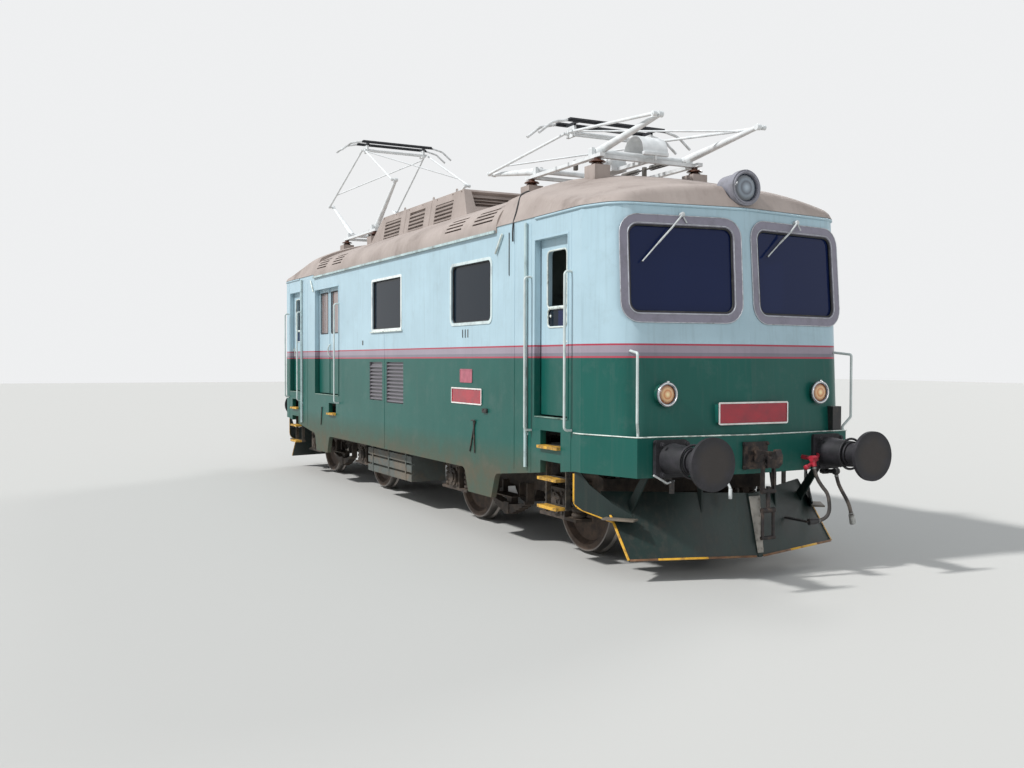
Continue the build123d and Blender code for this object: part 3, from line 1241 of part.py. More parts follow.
write("roof_insulators", roof_insulators(PANTOGRAPH_FRONT[0]) + roof_insulators(PANTOGRAPH_REAR[0]))
write("pantograph_bases", [pantograph_base(PANTOGRAPH_FRONT[0]), pantograph_base(PANTOGRAPH_REAR[0])])
for end, (centre, angle) in (("front", PANTOGRAPH_FRONT), ("rear", PANTOGRAPH_REAR)):
    write(f"lower_arm_a_{end}", [lower_arm(centre, 1, angle)])
    write(f"lower_arm_b_{end}", [lower_arm(centre, -1, angle)])
    write(f"upper_arm_a_{end}", [upper_arm(centre, 1, angle)])
    write(f"upper_arm_b_{end}", [upper_arm(centre, -1, angle)])
    write(f"collector_head_{end}", [collector_head(centre, angle)])

for end, centre in (("front", BOGIE_X), ("rear", -BOGIE_X)):
    write(f"bogie_frame_{end}", [bogie_frame(centre)])
    write(f"axle_boxes_{end}", axle_boxes(centre))
    write(f"coil_springs_{end}", coil_springs(centre))
    write(f"traction_motors_{end}", traction_motors(centre))
for number, x in enumerate((BOGIE_X + WHEELBASE / 2, BOGIE_X - WHEELBASE / 2,
                            -BOGIE_X + WHEELBASE / 2, -BOGIE_X - WHEELBASE / 2), 1):
    write(f"wheelset_{number}", [wheelset(x)])

leaf = cab_door()
write("cab_door_front_right", [leaf])
write("cab_door_front_left", [mirror(leaf, about=Plane.XZ)])
write("cab_door_rear_right", [mirror(leaf, about=Plane.YZ)])
write("cab_door_rear_left", [Rot(0, 0, 180) * leaf])
service_leaves = (("service_door", SERVICE_DOOR_X[0], 1), ("service_door_second", SERVICE_DOOR_X[1], -1))
for name, outer_x, way in service_leaves:
    service = service_door(outer_x, way)
    write(f"{name}_right", [service])
    write(f"{name}_left", [mirror(service, about=Plane.XZ)])

for name, points in (("a", HOSE_A), ("b", HOSE_B)):
    tube = hose(points, HOSE_DIAMETER)
    write(f"air_hose_{name}_front", [tube])
    write(f"air_hose_{name}_rear", [Rot(0, 0, 180) * tube])
head = hose_head(HOSE_B)
write("hose_head_b_front", [head])
write("hose_head_b_rear", [Rot(0, 0, 180) * head])
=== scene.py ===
import math

import bmesh
import bpy
from mathutils import Matrix, Vector


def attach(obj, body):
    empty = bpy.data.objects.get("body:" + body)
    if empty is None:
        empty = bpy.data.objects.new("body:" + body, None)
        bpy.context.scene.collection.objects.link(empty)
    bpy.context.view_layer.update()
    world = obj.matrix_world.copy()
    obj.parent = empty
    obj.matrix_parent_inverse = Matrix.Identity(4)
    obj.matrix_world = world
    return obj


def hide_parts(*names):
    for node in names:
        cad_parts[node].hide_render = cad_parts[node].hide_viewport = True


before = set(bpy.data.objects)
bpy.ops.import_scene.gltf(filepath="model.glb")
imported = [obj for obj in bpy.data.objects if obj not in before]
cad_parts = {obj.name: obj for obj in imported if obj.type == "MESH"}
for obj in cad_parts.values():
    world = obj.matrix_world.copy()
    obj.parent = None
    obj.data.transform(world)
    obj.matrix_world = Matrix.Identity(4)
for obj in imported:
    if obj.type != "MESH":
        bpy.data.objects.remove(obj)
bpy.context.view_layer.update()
scene = bpy.context.scene
bpy.ops.object.select_all(action="DESELECT")

# Camera: it stands ahead of the leading end and to its right, a little above the buffers, and looks
# back along the right side. Its place, turns and lens were fitted to the photograph.
PHOTO_WIDTH = 1024
FOCAL_PIXELS = 1035.335
CAMERA_PLACE = (12.973, -6.075, 1.906)
azimuth, pitch, roll = math.radians(63.124), math.radians(-1.259), math.radians(0.159)
forward = Vector((-math.sin(azimuth) * math.cos(pitch), math.cos(azimuth) * math.cos(pitch), math.sin(pitch)))
right = forward.cross(Vector((0, 0, 1))).normalized()
up = right.cross(forward)
right, up = right * math.cos(roll) + up * math.sin(roll), up * math.cos(roll) - right * math.sin(roll)
camera_data = bpy.data.cameras.new("camera")
camera_data.sensor_width = 36
camera_data.lens = 36 * FOCAL_PIXELS / PHOTO_WIDTH
camera = bpy.data.objects.new("camera", camera_data)
scene.collection.objects.link(camera)
turn = Matrix((right, up, -forward)).transposed().to_4x4()
camera.matrix_world = Matrix.Translation(CAMERA_PLACE) @ turn
scene.camera = camera
scene.view_settings.view_transform = "Standard"


# Air hoses: thick rubber tubes with fabric plies, pushed on the spigots of the cocks and held by
# steel clamps. Hose a hooks back on the plough, hose b hangs free with its head at the end.
def linear(hex_colour):
    """An sRGB colour such as #1F6B5C as linear red, green, blue and alpha."""
    values = [int(hex_colour[i : i + 2], 16) / 255 for i in (1, 3, 5)]
    return [v / 12.92 if v <= 0.04045 else ((v + 0.055) / 1.055) ** 2.4 for v in values] + [1]


def add(owner, kind, settings=None, **inputs):
    """Add one node: its settings by name, then its inputs by name or number, as values or as links."""
    node = owner.node_tree.nodes.new(kind)
    for key, value in (settings or {}).items():
        setattr(node, key, value)
    for key, value in inputs.items():
        socket = node.inputs[int(key[1:])] if key[1:].isdigit() else node.inputs[key.replace("_", " ")]
        if isinstance(value, bpy.types.NodeSocket):
            owner.node_tree.links.new(value, socket)
        else:
            socket.default_value = value
    return node


def finish_for(name, **constants):
    """A new material, its constants set on the shader's sockets, and each point's place on the object."""
    material = bpy.data.materials.new(name)
    material.use_nodes = True
    shader = material.node_tree.nodes["Principled BSDF"]
    for socket, value in constants.items():
        shader.inputs[socket.replace("_", " ")].default_value = value
    return material, add(material, "ShaderNodeTexCoord").outputs["Object"]


def feed(material, **values):
    """Link what varies over the surface to the shader's sockets."""
    shader = material.node_tree.nodes["Principled BSDF"]
    for socket, value in values.items():
        material.node_tree.links.new(value, shader.inputs[socket.replace("_", " ")])


def weathered(name, main, second, dirt, cover, patch, grain, gloss, relief, metallic=0.0, runs=0.0):
    """A weathered finish: two shades in patches, dirt in clouds and runs, a fine grain in gloss and relief.

    cover is the share that dirt takes, and runs how strong its streaks are. patch is the width of a
    patch, grain that of a grain and relief its height, in mm. gloss is the range of roughness.
    """
    material, place = finish_for(name, Metallic=metallic)
    patches = add(material, "ShaderNodeTexNoise", Vector=place, Scale=1000 / patch, Detail=5.0).outputs[0]
    shade = add(material, "ShaderNodeMapRange", Value=patches, From_Min=0.38, From_Max=0.62).outputs[0]
    mixed = add(material, "ShaderNodeMix", {"data_type": "RGBA"}, _0=shade, _6=linear(main), _7=linear(second))
    clouds = add(material, "ShaderNodeTexNoise", Vector=place, Scale=500 / patch, Detail=9.0, Roughness=0.72)
    start = 0.66 - 0.42 * cover
    share = add(material, "ShaderNodeMapRange", Value=clouds.outputs[0], From_Min=start, From_Max=start + 0.16,
                To_Max=0.85).outputs[0]
    if runs:
        # Streaks 38 mm wide and 770 mm long.
        long = add(material, "ShaderNodeMapping", Vector=place,
                   Scale=(1000 / 38.46, 1000 / 38.46, 1000 / 769)).outputs[0]
        streaks = add(material, "ShaderNodeTexNoise", Vector=long, Scale=1.0, Detail=4.0).outputs[0]
        streaks = add(material, "ShaderNodeMapRange", Value=streaks, From_Min=0.5, From_Max=0.72, To_Max=runs)
        share = add(material, "ShaderNodeMath", {"operation": "MAXIMUM"}, _0=share, _1=streaks.outputs[0]).outputs[0]
    colour = add(material, "ShaderNodeMix", {"data_type": "RGBA"}, _0=share, _6=mixed.outputs[2], _7=linear(dirt))
    grains = add(material, "ShaderNodeTexNoise", Vector=place, Scale=1000 / grain, Detail=3.0).outputs[0]
    rough = add(material, "ShaderNodeMapRange", Value=grains, From_Min=0.3, From_Max=0.7,
                To_Min=gloss[0], To_Max=gloss[1]).outputs[0]
    rough = add(material, "ShaderNodeMath", {"operation": "MULTIPLY_ADD"}, _0=share, _1=0.2, _2=rough).outputs[0]
    raised = add(material, "ShaderNodeMath", {"operation": "MULTIPLY_ADD"}, _0=share, _1=0.5, _2=grains).outputs[0]
    bump = add(material, "ShaderNodeBump", Strength=1.0, Distance=relief / 1000, Height=raised).outputs[0]
    feed(material, Base_Color=colour.outputs[2], Roughness=rough, Normal=bump)
    return material


# Black rubber greyed by brake dust: dull, with fabric plies that show as a faint grain.
rubber = weathered("rubber_hose_moulded", "#383534", "#4A4542", "#7A7168",
                   cover=0.4, patch=120, grain=1.5, gloss=(0.6, 0.8), relief=0.3)
# Zinc-plated steel: a dull silver shine, darker where the plating is worn.
zinc = weathered("zinc_plated_steel", "#A9ABA8", "#8E9090", "#5E564E",
                 cover=0.35, patch=50, grain=0.8, gloss=(0.35, 0.5), relief=0.1, metallic=0.8)
BUFFERS_START_X = 5.73
HOSE_RADIUS = 0.017
# Length, then the route's points: forward of BUFFERS_START_X, to the left, and up.
HOSES = {
    "a": (0.59, ((0.132, 0.600, 0.962), (0.145, 0.604, 0.880), (0.175, 0.650, 0.785), (0.195, 0.724, 0.700),
                 (0.173, 0.752, 0.478), (0.150, 0.628, 0.468))),
    "b": (0.40, ((0.069, 0.930, 0.867), (0.085, 0.930, 0.800), (0.120, 0.945, 0.725), (0.150, 0.975, 0.650),
                 (0.160, 1.010, 0.575), (0.155, 1.035, 0.500))),
}
for end, way in (("front", 1), ("rear", -1)):
    for tag, (length, points) in HOSES.items():
        route = [Vector((way * (BUFFERS_START_X + x), way * y, z)) for x, y, z in points]
        line = bpy.data.curves.new(f"rubber_hose_{tag}_{end}", "CURVE")
        line.dimensions = "3D"
        line.bevel_depth, line.bevel_resolution, line.use_fill_caps = HOSE_RADIUS, 5, True
        spline = line.splines.new("NURBS")
        spline.points.add(len(route) - 1)
        for point, spot in zip(spline.points, route):
            point.co = (*spot, 1)
        spline.order_u, spline.use_endpoint_u, spline.resolution_u = 3, True, 10
        hose = bpy.data.objects.new(line.name, line)
        scene.collection.objects.link(hose)
        line.materials.append(rubber)
        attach(hose, "body")
        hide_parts(f"air_hose_{tag}_{end}")
        for part, (near, far) in enumerate(((route[0], route[1]), (route[-1], route[-2]))):
            along = (far - near).normalized()
            bpy.ops.object.select_all(action="DESELECT")
            bpy.ops.mesh.primitive_cylinder_add(
                vertices=24, radius=HOSE_RADIUS + 0.0005, depth=0.012, end_fill_type="NOTHING",
                location=near + along * 0.016, rotation=along.to_track_quat("Z", "Y").to_euler())
            clamp = bpy.context.object
            clamp.name = f"hose_clamp_{tag}_{end}_{part}"
            bpy.ops.object.transform_apply()
            thick = clamp.modifiers.new("thickness", "SOLIDIFY")
            thick.thickness, thick.offset = 0.0025, 1
            bpy.ops.object.modifier_apply(modifier="thickness")
            clamp.data.materials.append(zinc)
            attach(clamp, "body")

# Studio: a plain pale floor at the level of the wheel flanges, soft lamps above and at both sides, and
# a pale surround that the camera, glass and metal see.
bpy.ops.mesh.primitive_plane_add(size=160, location=(0, 0, -0.002))
floor = bpy.context.object
floor.name = "floor"
floor.data.materials.append(finish_for("studio_floor", Base_Color=linear("#BDBCB8"), Roughness=0.9)[0])
world = bpy.data.worlds.new("studio")
scene.world = world
world.use_nodes = True
surround = world.node_tree.nodes["Background"]
surround.inputs["Color"].default_value = linear("#DDE4EC")
surround.inputs["Strength"].default_value = 0.62
backdrop = add(world, "ShaderNodeBackground", Color=linear("#F4F5F6"), Strength=0.95)
rays = add(world, "ShaderNodeLightPath").outputs
seen = add(world, "ShaderNodeMath", {"operation": "MAXIMUM"}, _0=rays["Is Camera Ray"], _1=rays["Is Glossy Ray"])
seen = add(world, "ShaderNodeMath", {"operation": "MAXIMUM"}, _0=seen.outputs[0], _1=rays["Is Transmission Ray"])
choice = add(world, "ShaderNodeMixShader", _0=seen.outputs[0], _1=surround.outputs[0], _2=backdrop.outputs[0])
world.node_tree.links.new(choice.outputs[0], world.node_tree.nodes["World Output"].inputs["Surface"])
for name, energy, size, spot, aim in (
    ("key_lamp", 3.3, 4, (-1, -15, 17), (1, 0, 1.5)),
    ("fill_lamp", 0.45, 14, (16, -3, 8), (-1, 0, 1.5)),
    ("far_lamp", 0.8, 14, (-10, 18, 14), (0, 0, 2)),
):
    lamp = bpy.data.lights.new(name, "SUN")
    lamp.energy = energy
    lamp.angle = math.radians(size)
    lamp_object = bpy.data.objects.new(name, lamp)
    scene.collection.objects.link(lamp_object)
    lamp_object.location = spot
    lamp_object.rotation_euler = (Vector(aim) - Vector(spot)).to_track_quat("-Z", "Y").to_euler()


# Body: welded steel sheets sprayed with alkyd enamel, pale blue-green above and dark green below,
# with a grey-mauve stripe between two red lines. Dust lies on the skirt, rain leaves faint runs.
def dress(material, *names):
    """Give CAD nodes one material."""
    for name in names:
        mesh = bpy.data.objects[name].data
        mesh.materials.clear()
        mesh.materials.append(material)


def within(material, value, low, high):
    """1 where a value lies between two limits, else 0."""
    above = add(material, "ShaderNodeMath", {"operation": "GREATER_THAN"}, _0=value, _1=low).outputs[0]
    below = add(material, "ShaderNodeMath", {"operation": "LESS_THAN"}, _0=value, _1=high).outputs[0]
    return add(material, "ShaderNodeMath", {"operation": "MULTIPLY"}, _0=above, _1=below).outputs[0]


STRIPE_Z = (1.936, 1.947, 2.036, 2.047)
STRIPE_HIGHLIGHT_Z = 1.975
RAMP_TOP_Z = 4.0
LOUVRE_X, LOUVRE_Z = (-0.641, 0.65), (1.357, 1.892)
enamel, place = finish_for("alkyd_enamel_body", Specular_IOR_Level=0.3)
axes = add(enamel, "ShaderNodeSeparateXYZ", _0=place).outputs
band = add(enamel, "ShaderNodeMath", {"operation": "DIVIDE"}, _0=axes[2], _1=RAMP_TOP_Z).outputs[0]
band = add(enamel, "ShaderNodeValToRGB", _0=band)
ramp = band.color_ramp
ramp.interpolation = "CONSTANT"
ramp.elements[0].position, ramp.elements[0].color = 0, linear("#12544B")
ramp.elements[1].position, ramp.elements[1].color = STRIPE_Z[0] / RAMP_TOP_Z, linear("#B04354")
# The stripe is grey-mauve, painted darker in its lower part and lighter in its upper part: painted shade and a
# painted highlight.
for z, colour in ((STRIPE_Z[1], "#7E7983"), (STRIPE_HIGHLIGHT_Z, "#988C97"),
                  (STRIPE_Z[2], "#A93A4C"), (STRIPE_Z[3], "#A9C2CC")):
    ramp.elements.new(z / RAMP_TOP_Z).color = linear(colour)
# The sheets are a little uneven in shade, in patches of 625 mm, and carry runs 48 mm wide, 1.1 m long.
patches = add(enamel, "ShaderNodeTexNoise", Vector=place, Scale=1000 / 625, Detail=6.0, Roughness=0.6).outputs[0]
tone = add(enamel, "ShaderNodeMapRange", Value=patches, From_Min=0.3, From_Max=0.7,
           To_Min=0.92, To_Max=1.06).outputs[0]
colour = add(enamel, "ShaderNodeMix", {"data_type": "RGBA", "blend_type": "MULTIPLY"}, _0=1.0, _6=band.outputs[0],
             _7=tone).outputs[2]
long = add(enamel, "ShaderNodeMapping", Vector=place,
           Scale=(1000 / 47.62, 1000 / 47.62, 1000 / 1111)).outputs[0]
runs = add(enamel, "ShaderNodeTexNoise", Vector=long, Scale=1.0, Detail=5.0, Roughness=0.65).outputs[0]
runs = add(enamel, "ShaderNodeMapRange", Value=runs, From_Min=0.52, From_Max=0.8, To_Max=0.2).outputs[0]
colour = add(enamel, "ShaderNodeMix", {"data_type": "RGBA"}, _0=runs, _6=colour, _7=linear("#56605A")).outputs[2]
# Brown brake dust and mud thrown up from below, in clouds of 220 mm, gone 360 mm above the lower edge.
dust = add(enamel, "ShaderNodeTexNoise", Vector=place, Scale=1000 / 222.2, Detail=8.0, Roughness=0.7).outputs[0]
height = add(enamel, "ShaderNodeMapRange", Value=axes[2], From_Min=0.74, From_Max=1.1,
             To_Min=0.92, To_Max=0.0).outputs[0]
far = add(enamel, "ShaderNodeMath", {"operation": "ABSOLUTE"}, _0=axes[0]).outputs[0]
ends = add(enamel, "ShaderNodeMapRange", Value=far, From_Min=4.0, From_Max=4.9, To_Min=1.0, To_Max=0.12).outputs[0]
haze = add(enamel, "ShaderNodeMath", {"operation": "MULTIPLY"}, _0=height, _1=ends).outputs[0]
broken = add(enamel, "ShaderNodeMapRange", Value=dust, From_Min=0.3, From_Max=0.6, To_Min=0.45).outputs[0]
haze = add(enamel, "ShaderNodeMath", {"operation": "MULTIPLY"}, _0=haze, _1=broken).outputs[0]
colour = add(enamel, "ShaderNodeMix", {"data_type": "RGBA"}, _0=haze, _6=colour, _7=linear("#5B5344")).outputs[2]
# Grey film in soft clouds over the sheet.
film = add(enamel, "ShaderNodeMapRange", Value=dust, From_Min=0.54, From_Max=0.74, To_Max=0.16).outputs[0]
colour = add(enamel, "ShaderNodeMix", {"data_type": "RGBA"}, _0=film, _6=colour, _7=linear("#6E7672")).outputs[2]
# The recessed slats of the louvres catch dust and are greyer than the sheet round them.
inside = add(enamel, "ShaderNodeMath", {"operation": "ABSOLUTE"}, _0=axes[1]).outputs[0]
slats = add(enamel, "ShaderNodeMath", {"operation": "MULTIPLY"}, _0=within(enamel, axes[2], *LOUVRE_Z),
            _1=within(enamel, axes[0], *LOUVRE_X)).outputs[0]
sunk = within(enamel, inside, 1.3, 1.3748)
slats = add(enamel, "ShaderNodeMath", {"operation": "MULTIPLY"}, _0=slats, _1=sunk).outputs[0]
slats = add(enamel, "ShaderNodeMath", {"operation": "MULTIPLY"}, _0=slats, _1=0.85).outputs[0]
colour = add(enamel, "ShaderNodeMix", {"data_type": "RGBA"}, _0=slats, _6=colour, _7=linear("#7D767C")).outputs[2]
# Inside, the walls are brushed in a dull grey-green. Outside, the spray has left an orange peel of 3.8 mm,
# coarser than the real one so that it shows, and the welds have drawn the sheet into waves of 530 mm.
within_y = add(enamel, "ShaderNodeMath", {"operation": "LESS_THAN"}, _0=inside, _1=1.2).outputs[0]
within_x = add(enamel, "ShaderNodeMath", {"operation": "LESS_THAN"}, _0=far, _1=5.3).outputs[0]
lining = add(enamel, "ShaderNodeMath", {"operation": "MULTIPLY"}, _0=within_y, _1=within_x).outputs[0]
colour = add(enamel, "ShaderNodeMix", {"data_type": "RGBA"}, _0=lining, _6=colour, _7=linear("#6F7A74")).outputs[2]
grains = add(enamel, "ShaderNodeTexNoise", Vector=place, Scale=1000 / 3.846, Detail=2.0).outputs[0]
rough = add(enamel, "ShaderNodeMapRange", Value=grains, From_Min=0.3, From_Max=0.7,
            To_Min=0.3, To_Max=0.44).outputs[0]
rough = add(enamel, "ShaderNodeMath", {"operation": "MULTIPLY_ADD"}, _0=haze, _1=0.45, _2=rough).outputs[0]
waves = add(enamel, "ShaderNodeTexNoise", Vector=place, Scale=1000 / 526.3, Detail=2.0).outputs[0]
waves = add(enamel, "ShaderNodeBump", Strength=0.5, Distance=0.012, Height=waves).outputs[0]
peel = add(enamel, "ShaderNodeBump", Strength=1.0, Distance=0.00015, Height=grains, Normal=waves).outputs[0]
feed(enamel, Base_Color=colour, Roughness=rough, Normal=peel)
body_nodes = ("cab_shell", "side_wall", "cab_door", "service_door")
dress(enamel, *[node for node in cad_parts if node.startswith(body_nodes)])


# Number plates: blank cast plates in red enamel with a raised white border, one on each end across
# the crease on a steel packing, one on each side with a smaller faded plate above it. They are made
# facing the right side, WALL_Y from the middle, and the ones at the ends are then turned.
WALL_Y = -1.3745
SIDES = (Matrix.Identity(4), Matrix.Diagonal((1, -1, 1, 1)))
ENDS = (Matrix.Identity(4), Matrix.Diagonal((-1, -1, 1, 1)))
CORNERS = SIDES + (Matrix.Diagonal((-1, 1, 1, 1)), Matrix.Diagonal((-1, -1, 1, 1)))


def begin(kind, name, **place):
    """A primitive by itself, its place already in its mesh, in edit mode with all of it selected."""
    bpy.ops.object.select_all(action="DESELECT")
    getattr(bpy.ops.mesh, f"primitive_{kind}_add")(**place)
    piece = bpy.context.object
    piece.name = name
    bpy.ops.object.transform_apply()
    bpy.ops.object.mode_set(mode="EDIT")
    bpy.ops.mesh.select_mode(type="FACE")
    bpy.ops.mesh.select_all(action="SELECT")
    return piece


def pick(piece, test):
    """In edit mode, select the faces whose middle and normal pass a test."""
    mesh = bmesh.from_edit_mesh(piece.data)
    for face in mesh.faces:
        face.select_set(bool(test(face.calc_center_median(), face.normal)))
    bmesh.update_edit_mesh(piece.data)


def end_piece(piece, material, body="body", angle=32):
    """Leave edit mode and give the piece its smooth shading, material and body."""
    if bpy.context.mode != "OBJECT":
        bpy.ops.object.mode_set(mode="OBJECT")
    bpy.ops.object.select_all(action="DESELECT")
    piece.select_set(True)
    bpy.context.view_layer.objects.active = piece
    bpy.ops.object.shade_smooth_by_angle(angle=math.radians(angle))
    piece.data.materials.clear()
    piece.data.materials.append(material)
    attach(piece, body)
    return piece


def bar(name, low, high, edge=0.002):
    """A box between two corners with its edges rounded off, left in object mode."""
    middle = [(a + b) / 2 for a, b in zip(low, high)]
    piece = begin("cube", name, size=1, location=middle, scale=[abs(b - a) for a, b in zip(low, high)])
    bpy.ops.mesh.bevel(offset=edge, segments=2, affect="EDGES")
    bpy.ops.object.mode_set(mode="OBJECT")
    return piece


def repeat(pattern, name, places, keep=False):
    """A finished pattern copied to each place, the copies joined into one piece."""
    copies = []
    for place in places:
        copy = pattern.copy()
        copy.data = pattern.data.copy()
        copy.data.transform(place)
        if place.determinant() < 0:
            copy.data.flip_normals()
        scene.collection.objects.link(copy)
        copies.append(copy)
    bpy.ops.object.select_all(action="DESELECT")
    for copy in copies:
        copy.select_set(True)
    bpy.context.view_layer.objects.active = copies[0]
    if len(copies) > 1:
        bpy.ops.object.join()
    if not keep:
        bpy.data.objects.remove(pattern)
    copies[0].name = name
    return copies[0]


def together(name, pieces):
    """Several pieces joined into one."""
    bpy.ops.object.select_all(action="DESELECT")
    for piece in pieces:
        piece.select_set(True)
    bpy.context.view_layer.objects.active = pieces[0]
    if len(pieces) > 1:
        bpy.ops.object.join()
    pieces[0].name = name
    return pieces[0]


def facing(x, y, z, direction):
    """The place of a piece made round the z axis at the origin, moved and turned to a direction."""
    turned_to = Vector(direction).normalized().to_track_quat("Z", "Y").to_matrix().to_4x4()
    return Matrix.Translation((x, y, z)) @ turned_to


def hex_bolt(radius):
    """A bolt head with its washer, at the origin, pointing up."""
    head = begin("cylinder", "bolt", vertices=6, radius=radius, depth=radius * 1.1, location=(0, 0, radius * 0.75))
    pick(head, lambda spot, normal: normal.z > 0.9)
    bpy.ops.mesh.bevel(offset=radius * 0.14, segments=1, affect="EDGES")
    bpy.ops.object.mode_set(mode="OBJECT")
    washer = begin("cylinder", "washer", vertices=14, radius=radius * 1.45, depth=radius * 0.3,
                   location=(0, 0, radius * 0.15))
    pick(washer, lambda spot, normal: normal.z > 0.9)
    bpy.ops.mesh.bevel(offset=radius * 0.1, segments=1, affect="EDGES")
    bpy.ops.object.mode_set(mode="OBJECT")
    return together("bolt", [head, washer])


def bordered_plate(name, middle, width, height, thick, rim):
    """A plate facing -y: its border stands, its field is pressed in by inset and extrude."""
    x, y, z = middle
    plate = begin("cube", name, size=1, location=(x, y - thick / 2, z), scale=(width, thick, height))
    bpy.ops.mesh.select_mode(type="EDGE")
    edges = bmesh.from_edit_mesh(plate.data)
    for edge in edges.edges:
        a, b = (v.co for v in edge.verts)
        edge.select_set(abs((a - b).y) > thick * 0.5)
    bmesh.update_edit_mesh(plate.data)
    bpy.ops.mesh.bevel(offset=min(width, height) * 0.09, segments=4, affect="EDGES")
    bpy.ops.mesh.select_mode(type="FACE")
    pick(plate, lambda spot, normal: normal.y < -0.9)
    bpy.ops.mesh.inset(thickness=rim)
    bpy.ops.mesh.extrude_region_move(TRANSFORM_OT_translate={"value": (0, thick * 0.45, 0)})
    bpy.ops.object.mode_set(mode="OBJECT")
    return plate


# Vitreous enamel: glossy and even, its red field sunk 3 mm below the white border that is painted on
# the casting's edge, with a deeper red in clouds of 110 mm.
plate_red, place = finish_for("vitreous_enamel_plate", Roughness=0.22, Coat_Weight=0.4)
clouds = add(plate_red, "ShaderNodeTexNoise", Vector=place, Scale=1000 / 111.1, Detail=7.0).outputs[0]
shade = add(plate_red, "ShaderNodeMapRange", Value=clouds, From_Min=0.35, From_Max=0.7).outputs[0]
field = add(plate_red, "ShaderNodeMix", {"data_type": "RGBA"}, _0=shade, _6=linear("#A5162B"), _7=linear("#8A1A2C"))
feed(plate_red, Base_Color=field.outputs[2])
# Vitreous enamel bleached pink by the sun: it hardly shines.
faded = weathered("vitreous_enamel_faded", "#B0606E", "#9E5160", "#7A6660",
                  cover=0.25, patch=80, grain=2, gloss=(0.3, 0.45), relief=0.1)
# White vitreous enamel on the casting's edge: smooth, with dirt in clouds.
border_white = weathered("enamel_border_white", "#E9E6E2", "#DAD6D0", "#9C938A",
                         cover=0.2, patch=60, grain=2, gloss=(0.3, 0.45), relief=0.1)
PLATE_RIM = 0.014
for name, middle, width, height, turn_by in (
    ("front", (0.005, -5.734, 1.452), 0.782, 0.2, 90),
    ("side", (2.5915, WALL_Y - 0.001, 1.5235), 0.803, 0.178, 0),
):
    for kind, thick in (("field", 0.006), ("border", 0.0095)):
        plate = bordered_plate(f"{name}_plate_{kind}", middle, width, height, thick, PLATE_RIM)
        if kind == "border":
            bpy.ops.object.mode_set(mode="EDIT")
            pick(plate, lambda spot, normal: abs(spot.x - middle[0]) < width / 2 - PLATE_RIM + 0.0005
                 and abs(spot.z - middle[2]) < height / 2 - PLATE_RIM + 0.0005)
            bpy.ops.mesh.delete(type="FACE")
            bpy.ops.object.mode_set(mode="OBJECT")
        plate.data.transform(Matrix.Rotation(math.radians(turn_by), 4, "Z"))
        group = repeat(plate, f"number_plate_{kind}_{name}", ENDS if name == "front" else SIDES)
        end_piece(group, plate_red if kind == "field" else border_white)
small = bordered_plate("small_plate", (2.585, WALL_Y - 0.001, 1.745), 0.32, 0.15, 0.006, 0.012)
end_piece(repeat(small, "small_plate_sides", SIDES), faded)
packing = bar("plate_packing", (5.66, -0.375, 1.372), (5.7335, 0.385, 1.532), 0.003)
end_piece(repeat(packing, "plate_packings", ENDS), enamel)

# Sheet joints and trims: thin welded cover strips over the vertical joints, narrow angle trims
# round the doors, a worn sill under each, and the pale ledge line round each end.
JOINTS = ((-0.048, 0.745, 2.27), (3.745, 0.83, 3.16), (4.103, 0.83, 3.23), (4.873, 0.915, 3.24))
DOORWAYS = ((4.184, 4.815, 3.063), (-4.815, -4.184, 3.063), (-3.292, -2.062, 3.028))
DOOR_FOOT_Z = 1.373
TRIM_WIDTH = 0.016
trims = []
for x, low, high in JOINTS:
    for middle_x in (x, -x) if x > 0 else (x,):
        trims.append(bar("joint", (middle_x - 0.007, WALL_Y - 0.003, low), (middle_x + 0.007, WALL_Y, high), 0.001))
for x0, x1, top in DOORWAYS:
    for a, b in ((x0 - TRIM_WIDTH, x0), (x1, x1 + TRIM_WIDTH)):
        trims.append(bar("jamb", (a, WALL_Y - 0.0065, DOOR_FOOT_Z), (b, WALL_Y, top + TRIM_WIDTH), 0.0015))
    trims.append(bar("lintel", (x0, WALL_Y - 0.0065, top), (x1, WALL_Y, top + TRIM_WIDTH), 0.0015))
end_piece(repeat(together("trims", trims), "joint_and_door_trims", SIDES), enamel)
# Chequered steel painted green, rubbed down to bright metal by use.
sill_steel = weathered("steel_sill_worn", "#8FA89C", "#5F7F72", "#54483C",
                       cover=0.25, patch=70, grain=2, gloss=(0.35, 0.55), relief=0.3, metallic=0.3)
sills = []
for x0, x1 in ((4.19, 4.81), (-4.81, -4.19), (-3.286, -2.068)):
    sills.append(bar("sill", (x0, WALL_Y - 0.0095, DOOR_FOOT_Z + 0.0005),
                     (x1, WALL_Y + 0.0565, DOOR_FOOT_Z + 0.0085), 0.002))
end_piece(repeat(together("sills", sills), "door_sills", SIDES), sill_steel)
# Ledge line: a rolled half-round strip on the ledge, once white, now chipped and grey.
strip_white = weathered("enamel_strip_chipped", "#DDE3DC", "#C3CCC5", "#6F6A60",
                        cover=0.35, patch=50, grain=2, gloss=(0.4, 0.6), relief=0.3)


def tube(name, points, radius, closed=False, sides=2, smooth=False):
    """A round bar along points, made a mesh; smooth bends it round its corners."""
    line = bpy.data.curves.new(name, "CURVE")
    line.dimensions = "3D"
    line.bevel_depth, line.bevel_resolution, line.use_fill_caps = radius, sides, not closed
    spline = line.splines.new("NURBS" if smooth else "POLY")
    spline.points.add(len(points) - 1)
    for point, spot in zip(spline.points, points):
        point.co = (*spot, 1)
    spline.use_cyclic_u = closed
    if smooth:
        spline.order_u, spline.use_endpoint_u, spline.resolution_u = 3, True, 6
    piece = bpy.data.objects.new(name, line)
    scene.collection.objects.link(piece)
    bpy.ops.object.select_all(action="DESELECT")
    piece.select_set(True)
    bpy.context.view_layer.objects.active = piece
    bpy.ops.object.convert(target="MESH")
    return bpy.context.object


